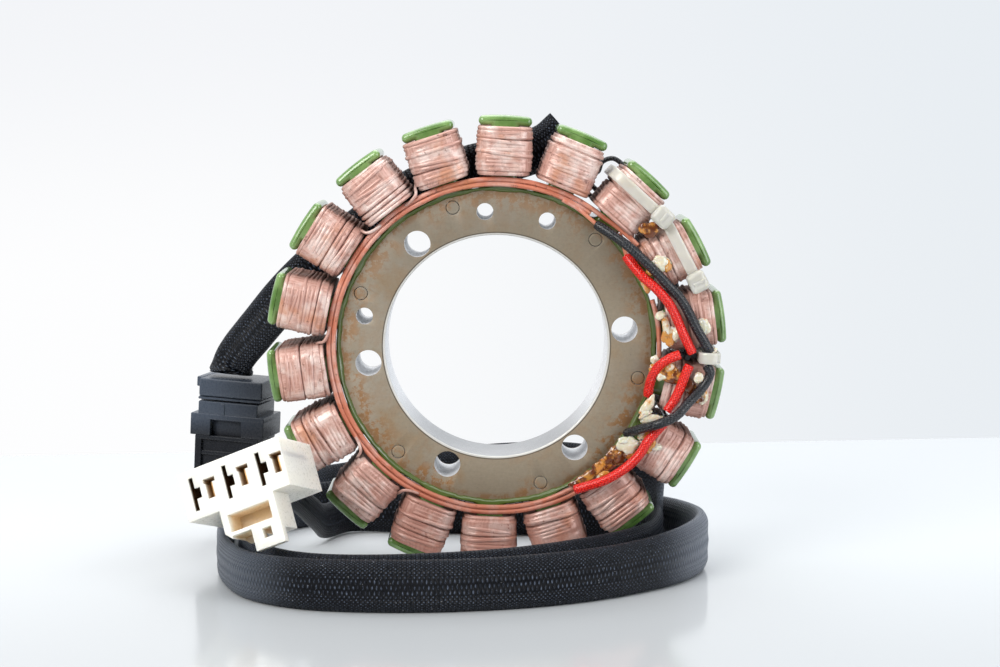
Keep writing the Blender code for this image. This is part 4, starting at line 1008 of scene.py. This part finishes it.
# Resin on the splices: x, z, y, half width, half height, tilt in degrees, and how burnt it is
RESIN = {
    "splice_resin_1": (
        (43.3, 84.2, -15.6, 2.1, 1.9, 20, 0.12), (45.1, 83.5, -15.4, 1.0, 1.6, 0, 0.6),
        (40.6, 81.9, -15.4, 1.0, 0.8, -35, 0.7), (39.8, 78.3, -15.3, 1.3, 1.8, 20, 0.45),
        (40.2, 93.1, -15.0, 1.8, 1.4, 10, 0.95), (38.8, 80.1, -15.2, 0.8, 0.8, 0, 0.8),
        (44.0, 80.4, -15.3, 0.9, 0.7, -40, 0.3),
    ),
    "splice_resin_2": (
        (42.1, 58.3, -14.4, 1.1, 1.1, 0, 0.12), (44.7, 55.3, -15.6, 2.8, 1.9, -20, 0.8),
        (45.9, 56.7, -15.8, 1.3, 1.0, 30, 0.5), (43.5, 54.1, -15.8, 1.2, 1.0, 0, 0.25),
        (47.9, 54.2, -16.0, 1.2, 1.0, 0, 0.9), (53.7, 53.9, -16.6, 1.3, 1.3, 0, 0.12),
        (51.2, 51.3, -15.6, 1.1, 1.5, 10, 1.0), (54.5, 49.3, -15.6, 1.3, 2.2, 8, 0.35),
        (53.7, 48.1, -15.9, 0.9, 0.8, 0, 1.0),
    ),
    "splice_resin_3": (
        (54.3, 67.2, -15.6, 1.8, 2.0, 0, 0.1), (44.8, 67.6, -15.2, 1.0, 3.3, 8, 0.45),
        (43.4, 70.2, -15.2, 1.3, 1.0, 10, 0.1), (45.6, 64.8, -15.2, 1.6, 2.4, -10, 0.6),
        (47.5, 65.5, -15.4, 0.9, 2.1, 0, 0.25), (54.3, 67.3, -15.6, 1.4, 2.1, 0, 0.1),
        (56.7, 59.1, -15.8, 1.0, 2.4, -30, 0.2),
    ),
    "splice_resin_4": (
        (40.1, 46.0, -14.4, 1.2, 2.8, -32, 0.3), (41.3, 42.6, -14.6, 3.0, 1.0, 8, 0.12),
        (39.6, 43.9, -14.6, 1.6, 0.8, 30, 0.2), (35.2, 35.6, -14.8, 2.6, 2.0, 10, 0.18),
        (34.0, 36.7, -14.8, 1.2, 1.0, 0, 0.1), (39.1, 38.4, -15.0, 1.4, 1.2, 30, 0.5),
        (40.6, 35.4, -15.4, 0.9, 1.8, -30, 0.75), (36.7, 33.2, -14.6, 1.8, 1.1, 20, 0.95),
        (33.5, 32.6, -13.4, 2.1, 1.2, 45, 1.0), (31.3, 33.1, -12.9, 1.8, 1.1, 35, 0.95),
        (29.5, 31.1, -12.9, 2.2, 1.0, 30, 0.85), (27.7, 29.1, -13.2, 2.0, 1.4, 25, 0.9),
        (28.4, 27.3, -13.6, 1.5, 0.9, 25, 0.55), (25.5, 27.5, -12.9, 1.8, 0.9, 28, 0.9),
        (23.4, 26.1, -12.8, 2.0, 0.9, 25, 0.8), (21.6, 25.0, -12.8, 1.5, 0.7, 20, 0.95),
        (42.5, 35.0, -15.2, 1.2, 0.9, 0, 0.15),
    ),
}


def add_resin(shader, rng):
    for name, blobs in RESIN.items():
        work = bmesh.new()
        layer = work.loops.layers.uv.new("UVMap")
        for x, z, y, half_x, half_z, tilt, burnt in blobs:
            seed = rng.uniform(0, 40)
            spread = 1.1 if burnt < 0.7 else 1.4
            shape = bmesh.ops.create_icosphere(work, subdivisions=4, radius=1)["verts"]
            turn = Matrix.Rotation(math.radians(-tilt), 3, "Y")
            for vert in shape:
                bulge = 1 + 0.4 * noise.noise(vert.co * 1.2 + Vector((seed, 0, 0))) + 0.07 * noise.noise(vert.co * 2.6)
                local = Vector((vert.co.x * half_x * spread, vert.co.y * 0.7, vert.co.z * half_z * spread))
                vert.co = (turn @ (local * bulge) + Vector((x, y, z))) * MM
            for face in {face for vert in shape for face in vert.link_faces}:
                for loop in face.loops:
                    loop[layer].uv = (burnt, 0.0)
        data = finish_mesh(work, bpy.data.meshes.new(name), outward=False)
        place(name + "_drip", data, shader, "splice_resin", [name])


# Cable ties

def rounded_box(work, low, high, round_off, to_world):
    """Adds a box with rounded edges, given in its own frame in millimetres."""
    shape = bmesh.ops.create_cube(work, size=1)["verts"]
    low, high = Vector(low), Vector(high)
    for vert in shape:
        vert.co = Vector(low[axis] + (vert.co[axis] + 0.5) * (high[axis] - low[axis]) for axis in range(3))
    edges = list({edge for vert in shape for edge in vert.link_edges})
    made = bmesh.ops.bevel(work, geom=edges + shape, offset=round_off, segments=3, profile=0.6, affect="EDGES")
    for vert in {vert for face in made["faces"] for vert in face.verts} | {v for v in shape if v.is_valid}:
        vert.co = Vector(to_world(vert.co)) * MM


STRAP = ((-1.5, 0.15), (-1.3, 0.0), (1.3, 0.0), (1.5, 0.15), (1.5, 0.75), (1.25, 0.98), (0.7, 1.0), (-0.7, 1.0),
         (-1.25, 0.98), (-1.5, 0.75))


def add_tie(number, shader, degrees, loop, radial_loop, head):
    """radial_loop says whether the strap's plane holds the radial direction; head is (y, across) of its middle."""
    name = f"cable_tie_{number}"
    radial, around = bearing(degrees)

    def to_world(y, across, width):
        if radial_loop:
            return CENTRE + radial * across + DEPTH * y + around * width
        return CENTRE + radial * (reach(1) - 2.2 + width) + DEPTH * y + around * across

    rows = [[to_world(y, s, width) for y, s in rounded_loop(*loop, grow)] for width, grow in STRAP]
    data = Solid().grid(np.array(rows).transpose(1, 0, 2), closed=True).mesh(name, sharp=45)
    work = bmesh.new()
    work.from_mesh(data)
    head_y, head_s = head
    for low, high, round_off in (
        ((-2.5, head_y - 2.1, head_s - 2.7), (2.5, head_y + 2.1, head_s + 2.7), 1.3),
        ((-1.5, head_y - 2.4, head_s - 0.7), (1.5, head_y + 2.6, head_s + 0.3), 0.3),
    ):
        rounded_box(work, low, high, round_off, lambda co: to_world(co.y, co.z, co.x))
    place(name + "_nylon", finish_mesh(work, data, 45), shader, "natural_nylon", [name])


def add_ties(shader):
    side = COIL_HALF + 0.3
    rear = COIL_FACE + 0.6 + WIRE_WIDE
    front = -(COIL_FACE + 0.3)
    loop = (front, rear, -side, side, 3.0)
    for number, bearing_back in ((1, 40), (2, 60)):
        add_tie(number, shader, FIRST_POLE - bearing_back, loop, False, (front - 1.6, -side - 0.9))
    bundle = reach(0.91)
    half = SLEEVE_WIDE / 2 + 0.6
    loop = (-(SLEEVE_HIGH + half), rear, bundle - half, bundle + half, 1.4)
    add_tie(3, shader, FIRST_POLE - 90, loop, True, (rear + 2.4, bundle))


# Connectors

BLACK_PLACE = (-75.8, 28.0, 13.8)
BLACK_TURN = (0.0, 3.0, -13.0)
WHITE_PLACE = (-82.59, -31.0, 30.46)
WHITE_TURN = (-15.2, -23.1, -21.6)

# Blocks as left, right, set in from the front and from the back, low, high, and rounding
BLACK_DEEP = 7.5
BLACK_BLOCKS = {
    "body": (
        (-9.4, 9.4, 0, 0, 17.0, 18.2, 0.3), (-9.2, 9.2, 0.9, 0, 0.2, 17.2, 0.3), (-9.4, -7.4, 0, 0, 0.2, 17.4, 0.3),
        (7.6, 9.3, 0, 0, 0.2, 17.4, 0.3), (-7.6, 7.8, 0.2, 0, 12.6, 13.8, 0.3), (-7.6, 7.8, 0.2, 0, 4.0, 5.0, 0.3),
        (-10.9, -4.9, 0, 0, 18.2, 23.2, 0.3), (4.2, 10.9, 0, 0, 18.2, 23.2, 0.3), (-5.2, 4.6, 2.4, 0, 18.2, 23.2, 0.2),
        (-10.9, 10.9, 0, 0, 22.8, 24.4, 0.35), (-8.8, 8.9, 0.2, 0, 24.0, 28.0, 0.5),
        (-2.2, -0.8, 0, 14.0, 24.2, 27.6, 0.3), (-9.8, -8.2, 5.0, 3.0, 24.2, 28.0, 0.3),
    ),
    "cap": (
        (-8.7, 10.1, 0, 0, 29.4, 34.5, 0.7), (-10.1, -8.2, 2.0, 1.0, 31.8, 34.6, 0.4),
        (-9.6, -8.2, 3.0, 2.0, 28.5, 32.2, 0.3), (-8.9, 9.6, 0.3, 0.3, 28.5, 29.2, 0.25),
    ),
}


def turned_place(spot, turn, order):
    """A matrix from degrees about X, Y and Z applied in the given order."""
    turns = dict(zip("XYZ", turn))
    matrix = Matrix.Translation(spot)
    for axis in order:
        matrix = matrix @ Matrix.Rotation(math.radians(turns[axis]), 4, axis)
    return matrix


def blocks(name, parts, place_matrix):
    """Rounded blocks, each (low corner, high corner, rounding), as one mesh."""
    work = bmesh.new()
    for low, high, round_off in parts:
        rounded_box(work, low, high, round_off, lambda co: place_matrix @ co)
    return finish_mesh(work, bpy.data.meshes.new(name), 35)


def rounded_copy(name, node, shader, slot, width, segments=3):
    """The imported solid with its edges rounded."""
    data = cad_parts[node].data.copy()
    work = bmesh.new()
    work.from_mesh(data)
    bmesh.ops.remove_doubles(work, verts=work.verts, dist=1e-6)
    bmesh.ops.dissolve_limit(work, angle_limit=math.radians(1.0), verts=work.verts, edges=work.edges)
    work.to_mesh(data)
    work.free()
    return place(name, bevelled(link("rough", data), width, segments, 40, 35), shader, slot, [node])


def add_black_connector(shader):
    matrix = turned_place(BLACK_PLACE, BLACK_TURN, "ZYX")
    plugs = []
    for part, rows in BLACK_BLOCKS.items():
        corners = [((left, front - BLACK_DEEP, low), (right, BLACK_DEEP - back, high), round_off)
                   for left, right, front, back, low, high, round_off in rows]
        data = blocks(f"black_plug_{part}", corners, matrix)
        plugs.append(place(f"black_plug_{part}", data, shader, "black_plastic", [f"black_connector_{part}"]))
    return plugs


# The white plug's hollows in its own frame, in millimetres: x, y and z of the slots, and of the latch's recess
SLOTS = ((0.3, 29.7), (0.35, 18.6), (-12.7, -0.3))
SLOT_FIRST, SLOT_PITCH, SLOT_WIDE = 2.6, 9.9, 3.6
RECESS_X, RECESS_Y, RECESS_TOP = (9.2, 24.8), (0.35, 8.7), -12.9


def mark_hollows(data, matrix):
    """Puts each wall's depth and the kind of hollow it belongs to into the uv map."""
    back = (Matrix.Diagonal((MM, MM, MM, 1)) @ matrix @ Matrix.Diagonal((1000, 1000, 1000, 1))).inverted()
    if "UVMap" not in data.uv_layers:
        data.uv_layers.new(name="UVMap")
    for extra in [other for other in data.uv_layers if other.name != "UVMap"]:
        data.uv_layers.remove(extra)
    layer = data.uv_layers["UVMap"]
    for face in data.polygons:
        corners = np.array([back @ data.vertices[index].co * 1000 for index in face.vertices])
        low, high = corners.min(0), corners.max(0)
        centre = Vector(corners.mean(0))
        kind = 0.0
        if all(start < value < end for value, (start, end) in zip(centre, SLOTS)):
            kind = 0.1 if (centre.x - SLOT_FIRST) % SLOT_PITCH < SLOT_WIDE else 0.2
        elif (high[2] <= RECESS_TOP and RECESS_X[0] < low[0] and high[0] < RECESS_X[1]
              and RECESS_Y[0] < centre.y < RECESS_Y[1]):
            kind = 0.3
        for loop in face.loop_indices:
            co = back @ data.vertices[data.loops[loop].vertex_index].co
            layer.data[loop].uv = (max(co.y, 0.0), kind)


def add_white_connector(ivory, brass):
    matrix = turned_place(WHITE_PLACE, WHITE_TURN, "ZXY")
    housing = rounded_copy("white_housing", "white_connector_housing", ivory, "ivory_plastic", 0.28)
    mark_hollows(housing.data, matrix)
    blades = [
        rounded_copy(f"white_blade_{number}", f"white_contact_{number}", brass, "contact_brass", 0.1, 2)
        for number in (1, 2, 3)
    ]
    return [housing] + blades


def main():
    add_camera()
    light_scene()
    add_floor()
    leads = add_leads(braid_shader())
    copper = copper_shader("winding_copper", (0.38, 0.19, 0.15), (0.6, 0.37, 0.31), 0.6)
    for index in range(POLES):
        add_coil(index, copper, random.Random(100 + index))
    add_coat(green_shader())
    add_stack(steel_shader())
    add_jumpers(copper_shader("jumper_copper", (0.5, 0.138, 0.074), (0.7, 0.248, 0.15), 0.3))
    add_sleeves(
        sleeve_shader("red_sleeving", (0.56, 0.005, 0.002), (0.9, 0.02, 0.009), 0.3),
        sleeve_shader("black_sleeving", (0.002, 0.0028, 0.0045), (0.014, 0.018, 0.026), 0.3),
        sleeve_shader("black_cover", (0.004, 0.0045, 0.006), (0.02, 0.023, 0.028), 0.2),
    )
    add_resin(resin_shader(), random.Random(7))
    add_ties(nylon_shader())
    black_plug = add_black_connector(black_plastic_shader())
    white_plug = add_white_connector(ivory_shader(), brass_shader())
    declare_leads(leads, black_plug, white_plug)


main()
bpy.context.view_layer.update()
